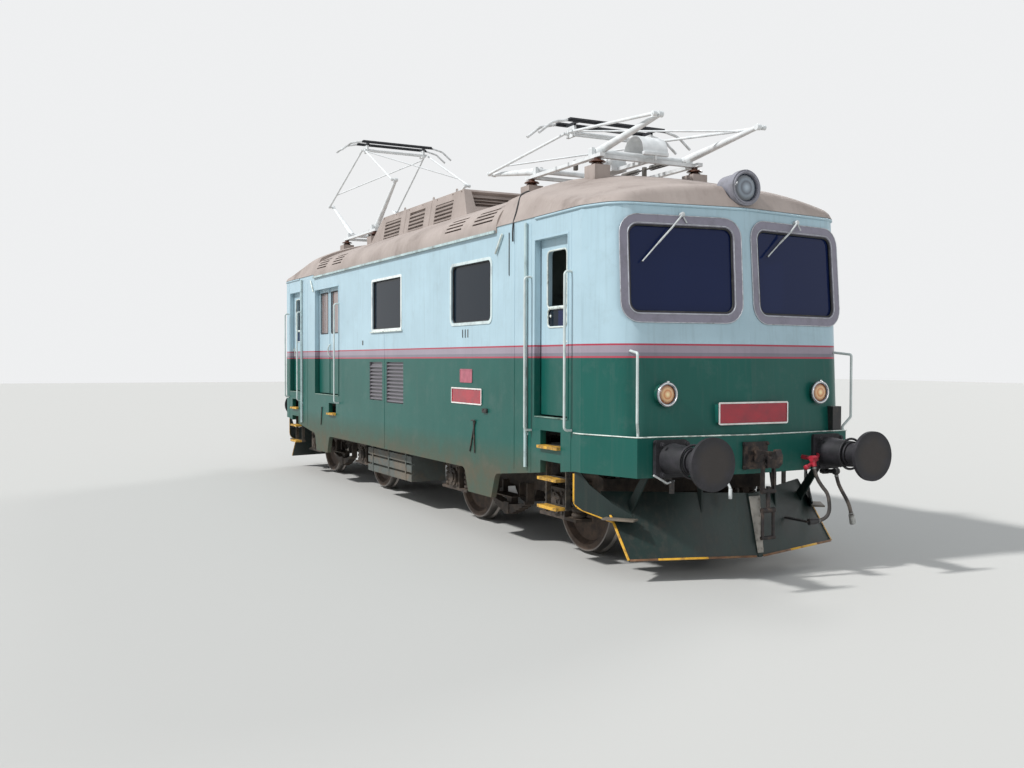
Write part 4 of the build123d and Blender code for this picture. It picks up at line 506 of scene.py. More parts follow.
LEDGE_Z = 1.262
ledge_line = ((4.93, WALL_Y - 0.0045), (5.05, WALL_Y - 0.0045), (5.662, -1.183), (5.762, 0))
ledge = tube("ledge", [(x, y, LEDGE_Z) for x, y in ledge_line], 0.0055)
end_piece(repeat(ledge, "ledge_strips", CORNERS), strip_white, angle=60)


def outline(node, z, middle_x, out, first=-90, last=0, steps=30):
    """Points round a shell at one height, from its side to the crease, a little outside it."""
    shell, points = bpy.data.objects[node], []
    for i in range(steps + 1):
        angle = math.radians(first + (last - first) * i / steps)
        way = Vector((math.cos(angle), math.sin(angle), 0))
        found, spot, normal, face = shell.ray_cast(Vector((middle_x, 0, z)) + way * 4, -way)
        if found:
            points.append(spot + normal * out)
    return points


# Drip edge and drains: a rolled bead round each cab below its roof, and a short pipe at each gutter's end.
drip = tube("drip", outline("cab_shell_front", 3.272, 4.2, 0.006), 0.012)
end_piece(repeat(drip, "cab_drip_edges", CORNERS), enamel, angle=60)
drain = tube("drain", [(3.50, -1.392, 3.2), (3.486, -1.393, 3.184), (3.348, -1.393, 3.014)], 0.0115)
end_piece(repeat(drain, "gutter_drains", CORNERS), strip_white, angle=60)

# Small fittings on the sides: air vents below the front window, a locker latch, relief pipes with
# their lever, a hinged flap and the dark conduit by the front window.
# Blackened iron: nearly black and dull, with brown dust in its pits.
dark_iron = weathered("iron_blackened", "#2E2E2D", "#3B3835", "#6A5F52",
                      cover=0.4, patch=60, grain=2, gloss=(0.55, 0.75), relief=0.4, metallic=0.2)
small_iron = []
for x in (2.49, 2.56, 2.63):
    small_iron.append(bar("vent", (x - 0.007, WALL_Y - 0.006, 2.165), (x + 0.007, WALL_Y + 0.0005, 2.255), 0.002))
small_iron.append(bar("latch", (3.03, WALL_Y - 0.0235, 1.36), (3.14, WALL_Y + 0.0005, 1.405), 0.006))
small_iron.append(bar("latch_lever", (3.045, WALL_Y - 0.0295, 1.386), (3.075, WALL_Y - 0.0215, 1.402), 0.003))
small_iron.append(bar("flap", (-0.935, WALL_Y - 0.0085, 2.125), (-0.913, WALL_Y + 0.0005, 2.19), 0.002))
conduit = [(3.635, -1.38, 3.2), (3.635, -1.38, 2.78), (3.635, -1.37, 2.76)]
small_iron.append(tube("conduit", conduit, 0.0045))
RELIEF_PIPES = (((2.835, 1.262), (2.70, 0.925)), ((2.80, 1.262), (2.825, 0.915)), ((-2.90, 1.18), (-2.95, 0.90)))
for pipe in RELIEF_PIPES:
    small_iron.append(tube("relief_pipe", [(x, WALL_Y - 0.0095, z) for x, z in pipe], 0.0085))
small_iron.append(bar("pipe_lever", (2.76, WALL_Y - 0.0255, 1.258), (2.85, WALL_Y - 0.0135, 1.272), 0.003))
end_piece(repeat(together("side_iron", small_iron), "side_fittings", SIDES), dark_iron)

# Windscreens: laminated panes in rubber, in pressed surrounds painted grey-mauve with a bright
# bead along both edges; the side windows sit in narrow painted frames, the middle one white.
# Alkyd enamel: grey-mauve round the windscreens, pale on the side frames, with a film of soot in
# clouds of 140 mm and a spray grain drawn at 3.3 mm so that it shows.
surround_paint, place = finish_for("alkyd_enamel_surround")
axes = add(surround_paint, "ShaderNodeSeparateXYZ", _0=place).outputs
far = add(surround_paint, "ShaderNodeMath", {"operation": "ABSOLUTE"}, _0=axes[0]).outputs[0]
screens = add(surround_paint, "ShaderNodeMath", {"operation": "GREATER_THAN"}, _0=far, _1=4.5).outputs[0]
middle_one = add(surround_paint, "ShaderNodeMath", {"operation": "LESS_THAN"}, _0=far, _1=0.8).outputs[0]
clouds = add(surround_paint, "ShaderNodeTexNoise", Vector=place, Scale=1000 / 142.9, Detail=8.0,
             Roughness=0.7).outputs[0]
side = add(surround_paint, "ShaderNodeMix", {"data_type": "RGBA"}, _0=middle_one, _6=linear("#CDDAD9"),
           _7=linear("#E4E9E6"))
colour = add(surround_paint, "ShaderNodeMix", {"data_type": "RGBA"}, _0=screens, _6=side.outputs[2],
             _7=linear("#85818E"))
soil = add(surround_paint, "ShaderNodeMapRange", Value=clouds, From_Min=0.48, From_Max=0.7, To_Max=0.45).outputs[0]
colour = add(surround_paint, "ShaderNodeMix", {"data_type": "RGBA"}, _0=soil, _6=colour.outputs[2],
             _7=linear("#5E5C60"))
grains = add(surround_paint, "ShaderNodeTexNoise", Vector=place, Scale=1000 / 3.333, Detail=2.0).outputs[0]
rough = add(surround_paint, "ShaderNodeMapRange", Value=grains, To_Min=0.36, To_Max=0.6).outputs[0]
bump = add(surround_paint, "ShaderNodeBump", Distance=0.0002, Height=grains).outputs[0]
feed(surround_paint, Base_Color=colour.outputs[2], Roughness=rough, Normal=bump)
dress(surround_paint, "window_frames")
# Glass: clear and hard, painted dark blue-grey as painted shade of the dark cab behind it, and navy on the
# windscreens as a painted reflection, with a film of dust in clouds of 330 mm that dulls it here and there.
glass, place = finish_for("laminated_glass", IOR=1.5, Specular_IOR_Level=0.08, Transmission_Weight=0.25)
film = add(glass, "ShaderNodeTexNoise", Vector=place, Scale=1000 / 333.3, Detail=7.0, Roughness=0.7).outputs[0]
film = add(glass, "ShaderNodeMapRange", Value=film, From_Min=0.45, From_Max=0.75, To_Min=0.02, To_Max=0.14).outputs[0]
axes = add(glass, "ShaderNodeSeparateXYZ", _0=place).outputs
far = add(glass, "ShaderNodeMath", {"operation": "ABSOLUTE"}, _0=axes[0]).outputs[0]
screens = add(glass, "ShaderNodeMath", {"operation": "GREATER_THAN"}, _0=far, _1=4.5).outputs[0]
# Painted shade of the cab behind on the side windows, and a painted navy reflection on the windscreens.
tint = add(glass, "ShaderNodeMix", {"data_type": "RGBA"}, _0=screens, _6=linear("#16212C"), _7=linear("#1B2850"))
feed(glass, Base_Color=tint.outputs[2], Roughness=film)
dress(glass, "window_panes")
# Drawn aluminium bead: pale and half bright, with fine scratches.
bead_metal = weathered("aluminium_bead", "#B9BDC2", "#A3A6AA", "#77736E",
                       cover=0.25, patch=50, grain=1, gloss=(0.3, 0.5), relief=0.1, metallic=0.5)
# Moulded rubber seal: black and dull, greyed where dust lies on it.
seal_rubber = weathered("rubber_seal", "#1D1E20", "#27282A", "#4B4844",
                        cover=0.3, patch=80, grain=1, gloss=(0.55, 0.75), relief=0.1)
SCREEN = {"y": 0.648, "z": 2.714, "width": 1.024, "height": 0.768, "radius": 0.09, "rim": 0.088}
# The end panels lean back and sweep to each side of a middle crease.
CREASE_X, CREASE_Z, SWEEP, LEAN = 5.740, 1.26, 0.139, 0.07
across = Vector((-SWEEP, -1, 0)).normalized()
outward = Vector((1, -SWEEP, LEAN)).normalized()
upward = outward.cross(across)
if upward.z < 0:
    upward.negate()


def front_x(y, z):
    """How far forward the end panel stands at a place on it."""
    return CREASE_X - SWEEP * abs(y) - LEAN * (z - CREASE_Z)


def rounded_loop(middle, side, rise, width, height, radius, steps=7):
    """Points round a rectangle with round corners, on a plane given by two directions."""
    points = []
    for corner, (a, b) in enumerate(((1, 1), (-1, 1), (-1, -1), (1, -1))):
        for i in range(steps):
            angle = math.radians(90 * (corner + i / (steps - 1)))
            u = a * (width / 2 - radius) + radius * math.cos(angle)
            v = b * (height / 2 - radius) + radius * math.sin(angle)
            points.append(middle + side * u + rise * v)
    return points


def screen_loop(name, grow, out, thick):
    """A bead round the windscreen, at a distance from its opening and from the panel."""
    screen_middle = Vector((front_x(SCREEN["y"], SCREEN["z"]), -SCREEN["y"], SCREEN["z"]))
    points = rounded_loop(screen_middle + outward * out, across, upward, SCREEN["width"] + 2 * grow,
                          SCREEN["height"] + 2 * grow, SCREEN["radius"] + grow)
    return tube(name, points, thick, closed=True)


beads = together("beads", [screen_loop("outer", SCREEN["rim"] - 0.002, 0.008, 0.0045),
                           screen_loop("inner", 0.010, 0.009, 0.0045)])
end_piece(repeat(beads, "windscreen_beads", CORNERS), bead_metal, angle=60)
seals = screen_loop("seal", -0.006, -0.006, 0.011)
end_piece(repeat(seals, "windscreen_seals", CORNERS), seal_rubber, angle=60)
east, upwards = Vector((1, 0, 0)), Vector((0, 0, 1))
side_seals = []
for x0, x1, z0, z1, radius in ((-0.515, 0.569, 2.331, 2.978, 0.02), (2.178, 3.210, 2.331, 2.968, 0.06)):
    middle = Vector(((x0 + x1) / 2, -1.3575, (z0 + z1) / 2))
    loop = rounded_loop(middle, east, upwards, x1 - x0 - 0.008, z1 - z0 - 0.008, radius)
    side_seals.append(tube("seal", loop, 0.009, closed=True))
side_seals = repeat(together("side_seals", side_seals), "side_window_seals", SIDES)
end_piece(side_seals, seal_rubber, angle=60)
white_sill = bar("sill_white", (-0.575, WALL_Y - 0.0235, 2.286), (0.629, WALL_Y - 0.001, 2.302), 0.003)
end_piece(repeat(white_sill, "window_sills", SIDES), strip_white)

# Wipers: one above each windscreen, a pressed arm on a pivot boss, painted pale grey, with a black
# rubber blade. They are parked aslant over the glass.
# Pale grey enamel sprayed on pressed steel: a soft, even shine.
wiper_paint = weathered("enamel_wiper_grey", "#C9CCCB", "#B5B8B8", "#7C7770",
                        cover=0.25, patch=50, grain=1, gloss=(0.35, 0.5), relief=0.1)
wipers, blades = [], []
for way, pivot, tip in ((-1, (-0.643, 3.19), (-1.038, 2.768)), (1, (0.652, 3.2), (0.249, 2.86))):
    normal = Vector((1, SWEEP * way, LEAN)).normalized()
    start_at = Vector((front_x(*pivot), *pivot)) + normal * 0.03
    end_at = Vector((front_x(*tip), *tip)) + normal * 0.022
    middle = start_at.lerp(end_at, 0.62)
    boss = begin("cylinder", "boss", vertices=20, radius=0.021, depth=0.06, location=start_at - normal * 0.01,
                 rotation=normal.to_track_quat("Z", "Y").to_euler())
    bpy.ops.mesh.bevel(offset=0.005, segments=2, affect="EDGES")
    bpy.ops.object.mode_set(mode="OBJECT")
    bend = start_at.lerp(end_at, 0.3) + normal * 0.03
    arm = tube("arm", [start_at + normal * 0.012, bend, middle + normal * 0.012], 0.0085)
    link = tube("link", [start_at, start_at + Vector((0.0, 0.05, -0.07))], 0.007)
    holder = tube("holder", [middle + normal * 0.012, end_at + normal * 0.006], 0.0058)
    wipers += [boss, arm, link, holder]
    blades.append(tube("blade", [start_at.lerp(end_at, 0.4) - normal * 0.004, end_at - normal * 0.006], 0.006))
end_piece(repeat(together("wipers", wipers), "wiper_arms", ENDS), wiper_paint, angle=50)
end_piece(repeat(together("blades", blades), "wiper_blades", ENDS), seal_rubber, angle=50)

# Cab doors: sheet leaves with an open upper light, a fixed lower pane in a bright frame with its
# knob, and a lever handle on a plate at the closing edge.
DOOR_X, DOOR_Y = 4.4995, -1.3085
light = rounded_loop(Vector((DOOR_X, DOOR_Y, 2.6795)), east, upwards, 0.372, 0.541, 0.05)
pane_edge = rounded_loop(Vector((DOOR_X, DOOR_Y + 0.002, 2.3155)), east, upwards, 0.364, 0.176, 0.045)
door_bits = [tube("light", light, 0.009, closed=True), tube("pane_frame", pane_edge, 0.009, closed=True)]
door_bits.append(bar("sash", (4.322, -1.311, 2.396), (4.677, -1.298, 2.426), 0.003))
knob = begin("uv_sphere", "knob", segments=16, ring_count=10, radius=0.014, location=(4.362, -1.302, 2.335))
bpy.ops.transform.resize(value=(1, 0.6, 1))
bpy.ops.object.mode_set(mode="OBJECT")
door_bits.append(knob)
door_bits.append(bar("plate", (4.764, -1.311, 1.98), (4.796, -1.306, 2.13), 0.002))
lever = [(4.78, DOOR_Y + 0.0005, 2.09), (4.78, -1.345, 2.09), (4.69, -1.348, 2.085)]
door_bits.append(tube("lever", lever, 0.008, smooth=True))
door_parts = together("door_parts", door_bits)
pane = begin("cube", "pane", size=1, location=(DOOR_X, DOOR_Y + 0.014, 2.3165), scale=(0.37, 0.004, 0.184))
bpy.ops.mesh.bevel(offset=0.0015, segments=1, affect="EDGES")
bpy.ops.object.mode_set(mode="OBJECT")
for name, place in zip(("front_right", "front_left", "rear_right", "rear_left"), CORNERS):
    trim = repeat(door_parts, f"door_trim_{name}", [place], keep=True)
    end_piece(trim, strip_white, f"cab_door_{name}", 50)
    lower = repeat(pane, f"door_pane_{name}", [place], keep=True)
    end_piece(lower, glass, f"cab_door_{name}")
bpy.data.objects.remove(door_parts)
bpy.data.objects.remove(pane)

# Service doors: two steel leaves on each side with panes in rubber over brown blinds, a meeting strip,
# and on the second leaf a lock and a bent pull handle.
# Glass over a woven blind: brown, in soft upright folds 18 mm wide and 450 mm long, painted lighter and darker as
# painted shade and raised by a bump, under a clear gloss.
curtain, place = finish_for("glass_over_brown_blind", Roughness=0.35, Coat_Weight=0.8)
folds = add(curtain, "ShaderNodeMapping", Vector=place, Scale=(1000 / 18.18, 1.0, 1000 / 454.5)).outputs[0]
folds = add(curtain, "ShaderNodeTexNoise", Vector=folds, Scale=1.0, Detail=4.0).outputs[0]
# The folds are painted lighter and darker: painted shade of the folds.
tint = add(curtain, "ShaderNodeMapRange", Value=folds, From_Min=0.3, From_Max=0.7).outputs[0]
tint = add(curtain, "ShaderNodeMix", {"data_type": "RGBA"}, _0=tint, _6=linear("#74605B"), _7=linear("#93807B"))
bump = add(curtain, "ShaderNodeBump", Distance=0.002, Height=folds).outputs[0]
feed(curtain, Base_Color=tint.outputs[2], Normal=bump)
PANE_Z, PANE_HEIGHT = 2.652, 0.636
for leaf, x0, x1 in (("service_door", -3.198, -2.808), ("service_door_second", -2.632, -2.242)):
    middle = Vector(((x0 + x1) / 2, DOOR_Y, PANE_Z))
    loop = rounded_loop(middle, east, upwards, x1 - x0, PANE_HEIGHT, 0.02)
    blind = begin("cube", "blind", size=1, location=(middle.x, DOOR_Y + 0.02, PANE_Z),
                  scale=(x1 - x0 - 0.002, 0.003, PANE_HEIGHT - 0.002))
    bpy.ops.mesh.bevel(offset=0.001, segments=1, affect="EDGES")
    bpy.ops.object.mode_set(mode="OBJECT")
    patterns = []
    if leaf == "service_door":
        bits = [bar("stile", (-2.752, -1.3115, 1.4), (-2.728, -1.306, 3.045), 0.002)]
    else:
        bits = [bar("stile", (-2.712, -1.3115, 1.4), (-2.69, -1.306, 3.045), 0.002),
                bar("lock", (-2.684, -1.3115, 1.9), (-2.652, -1.306, 2.2), 0.002)]
        grip = [(-2.672, -1.305, 2.16), (-2.672, -1.352, 2.15), (-2.672, -1.352, 1.98), (-2.672, -1.305, 1.97)]
        patterns.append((tube("grip", grip, 0.009, smooth=True), "grip", strip_white, "rail_paint", 50))
    patterns += [(tube("seal", loop, 0.007, closed=True), "seal", seal_rubber, "window_frame", 60),
                 (blind, "blind", curtain, "window_glass", 32),
                 (together("trim", bits), "trim", enamel, "window_frame", 50)]
    for side, place in zip(("right", "left"), SIDES):
        for pattern, kind, finish, slot, angle in patterns:
            piece = repeat(pattern, f"{leaf}_{kind}_{side}", [place], keep=True)
            end_piece(piece, finish, f"{leaf}_{side}", angle)
    for entry in patterns:
        bpy.data.objects.remove(entry[0])

# Headlamps: spun steel housings in dull silver; the low pair have amber fluted lenses, the roof
# lamp a clear glass before its polished reflector. A bright rolled rim holds each glass.
# Enamel: silver-grey on the roof lamps, body green on the low ones, with grime in clouds of 90 mm and a
# spray grain drawn at 2.4 mm so that it shows.
lamp_paint, place = finish_for("enamel_lamp_housing")
axes = add(lamp_paint, "ShaderNodeSeparateXYZ", _0=place).outputs
far = add(lamp_paint, "ShaderNodeMath", {"operation": "ABSOLUTE"}, _0=axes[0]).outputs[0]
low_ones = add(lamp_paint, "ShaderNodeMath", {"operation": "MULTIPLY"}, _0=within(lamp_paint, axes[2], 1.0, 2.0),
               _1=within(lamp_paint, far, 5.0, 5.643)).outputs[0]
clouds = add(lamp_paint, "ShaderNodeTexNoise", Vector=place, Scale=1000 / 90.91, Detail=8.0,
             Roughness=0.7).outputs[0]
soil = add(lamp_paint, "ShaderNodeMapRange", Value=clouds, From_Min=0.48, From_Max=0.7, To_Max=0.5).outputs[0]
colour = add(lamp_paint, "ShaderNodeMix", {"data_type": "RGBA"}, _0=low_ones, _6=linear("#85858E"),
             _7=linear("#104F43"))
colour = add(lamp_paint, "ShaderNodeMix", {"data_type": "RGBA"}, _0=soil, _6=colour.outputs[2], _7=linear("#565350"))
grains = add(lamp_paint, "ShaderNodeTexNoise", Vector=place, Scale=1000 / 2.381, Detail=2.0).outputs[0]
rough = add(lamp_paint, "ShaderNodeMapRange", Value=grains, To_Min=0.32, To_Max=0.55).outputs[0]
bump = add(lamp_paint, "ShaderNodeBump", Distance=0.0002, Height=grains).outputs[0]
feed(lamp_paint, Base_Color=colour.outputs[2], Roughness=rough, Normal=bump)
dress(lamp_paint, "headlamps")
# Chromed steel: mirror bright, with a little grime.
chrome = weathered("steel_chromed", "#D9DBDD", "#C2C5C8", "#8B857D",
                   cover=0.15, patch=50, grain=0.6, gloss=(0.12, 0.28), relief=0.05, metallic=0.9)


def lens_finish(name, middle, radius, highlight_colour, edge, flute):
    """Ribbed glass before a reflector: a painted highlight bright in the middle and painted shade deeper towards the
    edge; flutes in mm.
    """
    material, place = finish_for(name, Roughness=0.06, Coat_Weight=1.0, Specular_IOR_Level=0.8)
    axes = add(material, "ShaderNodeSeparateXYZ", _0=place).outputs
    across_y = add(material, "ShaderNodeMath", {"operation": "ABSOLUTE"}, _0=axes[1]).outputs[0]
    flat = add(material, "ShaderNodeCombineXYZ", _1=across_y, _2=axes[2]).outputs[0]
    spread = add(material, "ShaderNodeVectorMath", {"operation": "DISTANCE"}, _0=flat,
                 _1=(0, *middle)).outputs["Value"]
    share = add(material, "ShaderNodeMapRange", Value=spread, From_Max=radius).outputs[0]
    # Colour by distance from the middle: a painted highlight of the reflector there, and painted shade towards the
    # rim.
    highlight_and_shade = add(material, "ShaderNodeValToRGB", _0=share)
    ramp = highlight_and_shade.color_ramp
    ramp.elements[0].color, ramp.elements[1].color = linear(highlight_colour), linear(edge)
    ramp.elements[0].position = 0.1
    ramp.elements.new(0.45).color = linear(edge)
    ramp.elements.new(0.62).color = [(a + b) / 2 for a, b in zip(linear(highlight_colour), linear(edge))]
    ramp.elements.new(0.9).color = [v * 0.45 for v in linear(edge)[:3]] + [1]
    ribs = add(material, "ShaderNodeTexWave", {"bands_direction": "Y"}, Vector=place, Scale=100 * math.pi / flute)
    bump = add(material, "ShaderNodeBump", Distance=0.0012, Height=ribs.outputs["Fac"]).outputs[0]
    feed(material, Base_Color=highlight_and_shade.outputs[0], Normal=bump)
    return material


# Pressed glass: amber on the low lamps and grey-blue on the roof lamps, each with a painted highlight in the middle
# and painted shade at the rim, wet-looking, with flutes of 26 and 35 mm.
amber = lens_finish("glass_amber_fluted", (0.866, 1.624), 0.08, "#FFE3A6", "#C9752E", 26.18)
clear = lens_finish("glass_headlamp", (0.0, 3.467), 0.122, "#98A6B2", "#3E4957", 34.91)
for name, spots, radius, face, recess, finish in (
    ("low", ((-0.866, 1.624), (0.866, 1.624)), 0.0825, 5.652, 0.014, amber),
    ("roof", ((0.0, 3.467),), 0.125, 5.620, 0.022, clear),
):
    lenses, rims = [], []
    for y, z in spots:
        lens = begin("uv_sphere", "lens", segments=40, ring_count=16, radius=radius - 0.001,
                     location=(face - recess + 0.001, y, z))
        bpy.ops.transform.resize(value=(0.19, 1, 1))
        bpy.ops.object.mode_set(mode="OBJECT")
        lenses.append(lens)
        rim = begin("torus", "rim", major_radius=radius + 0.013, minor_radius=0.0085, major_segments=48,
                    minor_segments=10, location=(face + 0.001, y, z), rotation=(0, math.radians(90), 0))
        bpy.ops.object.mode_set(mode="OBJECT")
        rims.append(rim)
        rims.append(bar("clip", (face - 0.006, y - 0.012, z + radius + 0.012),
                        (face + 0.012, y + 0.012, z + radius + 0.034), 0.003))
    end_piece(repeat(together("lens", lenses), f"{name}_lamp_lenses", ENDS), finish, angle=60)
    rims = repeat(together("rims", rims), f"{name}_lamp_rims", ENDS)
    end_piece(rims, chrome if name == "low" else lamp_paint, angle=60)

# Roof: steel sheets in beige-grey roof paint, chalked and grimy, with lifting eyes on the cab roofs. A
# hood of folded sheet covers the middle, held by bolts along its foot and its top edge.
# Roof paint: dull and powdery, its shades in patches of 500 mm, with dark runs where rain has washed it.
roof = weathered("roof_paint_chalked", "#A89C95", "#998D86", "#6A605A",
                 cover=0.2, patch=500, grain=4, gloss=(0.6, 0.85), relief=0.9, runs=0.14)
dress(roof, "mid_roof", "cab_roofs", "roof_hood")
eye = begin("torus", "eye", major_radius=0.034, minor_radius=0.0085, major_segments=28, minor_segments=8,
            location=(3.795, -1.21, 3.462), rotation=(math.radians(60), 0, 0))
bpy.ops.object.mode_set(mode="OBJECT")
end_piece(repeat(eye, "lifting_eyes", CORNERS), roof, angle=60)
# Hood: its side sheets lean inwards from foot to top, and carry bolts, slats and riveted cover strips.
HOOD_FOOT_Y, HOOD_FOOT_Z = 0.720, 3.718
HOOD_TOP_Y, HOOD_TOP_Z = 0.656, 4.093
lean = math.atan2(HOOD_FOOT_Y - HOOD_TOP_Y, HOOD_TOP_Z - HOOD_FOOT_Z)


def hood_y(z):
    """How far out the hood's side stands at a height."""
    return HOOD_FOOT_Y - (z - HOOD_FOOT_Z) * math.tan(lean)


HIGH_BOLTS_Z, LOW_BOLTS_Z = 4.072, 3.728
bolts = []
bolt = hex_bolt(0.009)
rows = [(x, HIGH_BOLTS_Z) for x in (-2.02, -1.5, -0.98, -0.46, 0.06, 0.58, 0.86)]
rows += [(x, LOW_BOLTS_Z) for x in (-2.4, -1.2, -0.2, 0.9)]
for x, z in rows:
    for way in (-1, 1):
        bolts.append(facing(x, way * hood_y(z), z, (0, way * math.cos(lean), math.sin(lean))))
end_piece(repeat(bolt, "hood_bolts", bolts), roof)
# Five slats in each opening of the hood, tilted to shed rain.
SLATS, SLAT_STEP = 5, 0.052
slats = []
for x0, x1, z0 in ((-1.93, -1.27, 3.738), (-0.92, -0.34, 3.728), (0.04, 0.635, 3.734)):
    for i in range(SLATS):
        z = z0 + SLAT_STEP * (i + 0.5)
        for way in (-1, 1):
            slat = begin("cube", "slat", size=1, scale=(x1 - x0, 0.004, 0.021))
            bpy.ops.mesh.bevel(offset=0.0015, segments=1, affect="EDGES")
            bpy.ops.object.mode_set(mode="OBJECT")
            slat.data.transform(Matrix.Translation((x0 / 2 + x1 / 2, way * (hood_y(z) - 0.001), z))
                                @ Matrix.Rotation(way * (lean - 0.3), 4, "X"))
            slats.append(slat)
end_piece(together("hood_slats", slats), roof)
# A strip over each joint between two side sheets.
COVER_LOW_Z, COVER_HIGH_Z = 3.722, 4.09
cover_y = (hood_y(COVER_LOW_Z) + hood_y(COVER_HIGH_Z)) / 2 + 0.002
covers = []
for x in (-1.105, -0.15):
    for way in (-1, 1):
        cover = begin("cube", "cover", size=1, scale=(0.055, 0.006, COVER_HIGH_Z - COVER_LOW_Z))
        bpy.ops.mesh.bevel(offset=0.002, segments=1, affect="EDGES")
        bpy.ops.object.mode_set(mode="OBJECT")
        cover.data.transform(Matrix.Translation((x, way * cover_y, (COVER_LOW_Z + COVER_HIGH_Z) / 2))
                             @ Matrix.Rotation(way * lean, 4, "X"))
        covers.append(cover)
end_piece(together("hood_covers", covers), roof)
# Eyes to lift the hood by, along both edges of its top.
ears = []
for x in (-1.2, -0.12, 0.66):
    for way in (-1, 1):
        ear = begin("torus", "ear", major_radius=0.024, minor_radius=0.0065, major_segments=24, minor_segments=8,
                    location=(x, way * 0.64, 4.108), rotation=(math.radians(90), 0, 0))
        bpy.ops.object.mode_set(mode="OBJECT")
        ears.append(ear)
end_piece(together("hood_eyes", ears), roof, angle=60)

# Roof cables: a rubber-sheathed lead from an insulator's foot over the roof's shoulder to the wall. It
# lies on the sheets, whose height is found below each of its points.
LEAD_RADIUS = 0.009
LEAD_START_X, LEAD_START_Y = 3.06, -0.69
LEAD_STEP_X, LEAD_STEP_Y = 0.055, -0.0545
ABOVE_ROOF_Z = 4.6
lead = []
for i in range(13):
    x, y = LEAD_START_X + LEAD_STEP_X * i, LEAD_START_Y + LEAD_STEP_Y * i
    tops = []
    for node in ("mid_roof", "cab_roofs"):
        start = Vector((x, y, ABOVE_ROOF_Z))
        found, spot, normal, face = bpy.data.objects[node].ray_cast(start, Vector((0, 0, -1)))
        if found:
            tops.append(spot.z)
    lead.append((x, y, max(tops) + LEAD_RADIUS + 0.002))
lead += [(3.738, -1.396, 3.262), (3.742, -1.392, 3.10)]
leads = repeat(tube("lead", lead, LEAD_RADIUS, smooth=True), "roof_cables", ENDS)
end_piece(leads, seal_rubber, angle=60)

# Insulators: porcelain, turned and fired with a brown glaze. Each has a wide rain shed over a smaller
# one, and stands on a roof post below a corner of a pantograph's base.
# Glazed porcelain: dark brown with a wet gloss, dusty on top.
porcelain = weathered("porcelain_brown_glaze", "#42251B", "#54301F", "#7C6E62",
                      cover=0.25, patch=50, grain=2, gloss=(0.1, 0.25), relief=0.1)
dress(porcelain, "roof_insulators")

# Pantographs: welded steel tube in white enamel, greased and dirty at the joints, with copper-
# filled carbon strips blackened by arcing. Coil springs along each base raise the arms.
# White enamel brushed on steel tube: a soft shine, greyed by grease at the joints.
white = weathered("enamel_pantograph_white", "#E2E4E4", "#D3D6D6", "#8A847D",
                  cover=0.1, patch=90, grain=2, gloss=(0.35, 0.55), relief=0.3)
arm_nodes = ("pantograph", "lower_arm", "upper_arm")
dress(white, *[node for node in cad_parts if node.startswith(arm_nodes)])
# Enamel and carbon: white with soot in clouds of 70 mm, and dull black strips on top between the horns.
STRIP_DEPTH, STRIP_END_Y = 0.03, 0.62
for tag, top in (("front", 4.4431), ("rear", 5.4682)):
    head, place = finish_for(f"enamel_and_carbon_{tag}")
    axes = add(head, "ShaderNodeSeparateXYZ", _0=place).outputs
    across_y = add(head, "ShaderNodeMath", {"operation": "ABSOLUTE"}, _0=axes[1]).outputs[0]
    high = add(head, "ShaderNodeMath", {"operation": "GREATER_THAN"}, _0=axes[2], _1=top - STRIP_DEPTH).outputs[0]
    middle = add(head, "ShaderNodeMath", {"operation": "LESS_THAN"}, _0=across_y, _1=STRIP_END_Y).outputs[0]
    strips = add(head, "ShaderNodeMath", {"operation": "MULTIPLY"}, _0=high, _1=middle).outputs[0]
    clouds = add(head, "ShaderNodeTexNoise", Vector=place, Scale=1000 / 71.43, Detail=8.0).outputs[0]
    soot = add(head, "ShaderNodeMapRange", Value=clouds, From_Min=0.42, From_Max=0.7, To_Max=0.6).outputs[0]
    colour = add(head, "ShaderNodeMix", {"data_type": "RGBA"}, _0=soot, _6=linear("#DEE0E0"), _7=linear("#7B766F"))
    colour = add(head, "ShaderNodeMix", {"data_type": "RGBA"}, _0=strips, _6=colour.outputs[2], _7=linear("#24262B"))
    grains = add(head, "ShaderNodeTexNoise", Vector=place, Scale=1000 / 2.381, Detail=2.0).outputs[0]
    rough = add(head, "ShaderNodeMapRange", Value=grains, To_Min=0.4, To_Max=0.65).outputs[0]
    bump = add(head, "ShaderNodeBump", Distance=0.0003, Height=grains).outputs[0]
    feed(head, Base_Color=colour.outputs[2], Roughness=rough, Normal=bump)
    dress(head, f"collector_head_{tag}")
# Oiled spring steel: dark grey with a greasy shine on the crown of each turn.
spring_steel = weathered("spring_steel_oiled", "#5F5C58", "#74706A", "#3B332C",
                         cover=0.4, patch=40, grain=1, gloss=(0.35, 0.5), relief=0.1, metallic=0.7)
PANTOGRAPH_X = 3.35
SPRING_Y, SPRING_Z, SPRING_RADIUS = 0.44, 4.03, 0.026
SPRING_START_X, SPRING_LENGTH = 0.12, 0.32
TURNS, POINTS_A_TURN = 14, 10
coil = []
for side in (-1, 1):
    y = side * SPRING_Y
    turns = []
    for i in range(TURNS * POINTS_A_TURN + 1):
        angle = 2 * math.pi * i / POINTS_A_TURN
        turns.append((SPRING_START_X + SPRING_LENGTH * i / (TURNS * POINTS_A_TURN),
                      y + SPRING_RADIUS * math.cos(angle), SPRING_Z + SPRING_RADIUS * math.sin(angle)))
    coil.append(tube("coil", turns, 0.0045, sides=1))
    coil.append(tube("rod", [(0.02, y, SPRING_Z), (0.57, y, SPRING_Z)], 0.009))
    coil.append(bar("anchor", (0.0, y - 0.02, 3.95), (0.02, y + 0.02, 4.06), 0.003))
springs = together("coil", coil)
# Each base and its mirror image: front forward, front backward, rear forward, rear backward.
BASES = [Matrix.Translation((x, 0, 0)) @ Matrix.Diagonal((way, 1, 1, 1))
         for x in (PANTOGRAPH_X, -PANTOGRAPH_X) for way in (1, -1)]
end_piece(repeat(springs, "raising_springs", BASES), spring_steel, angle=60)
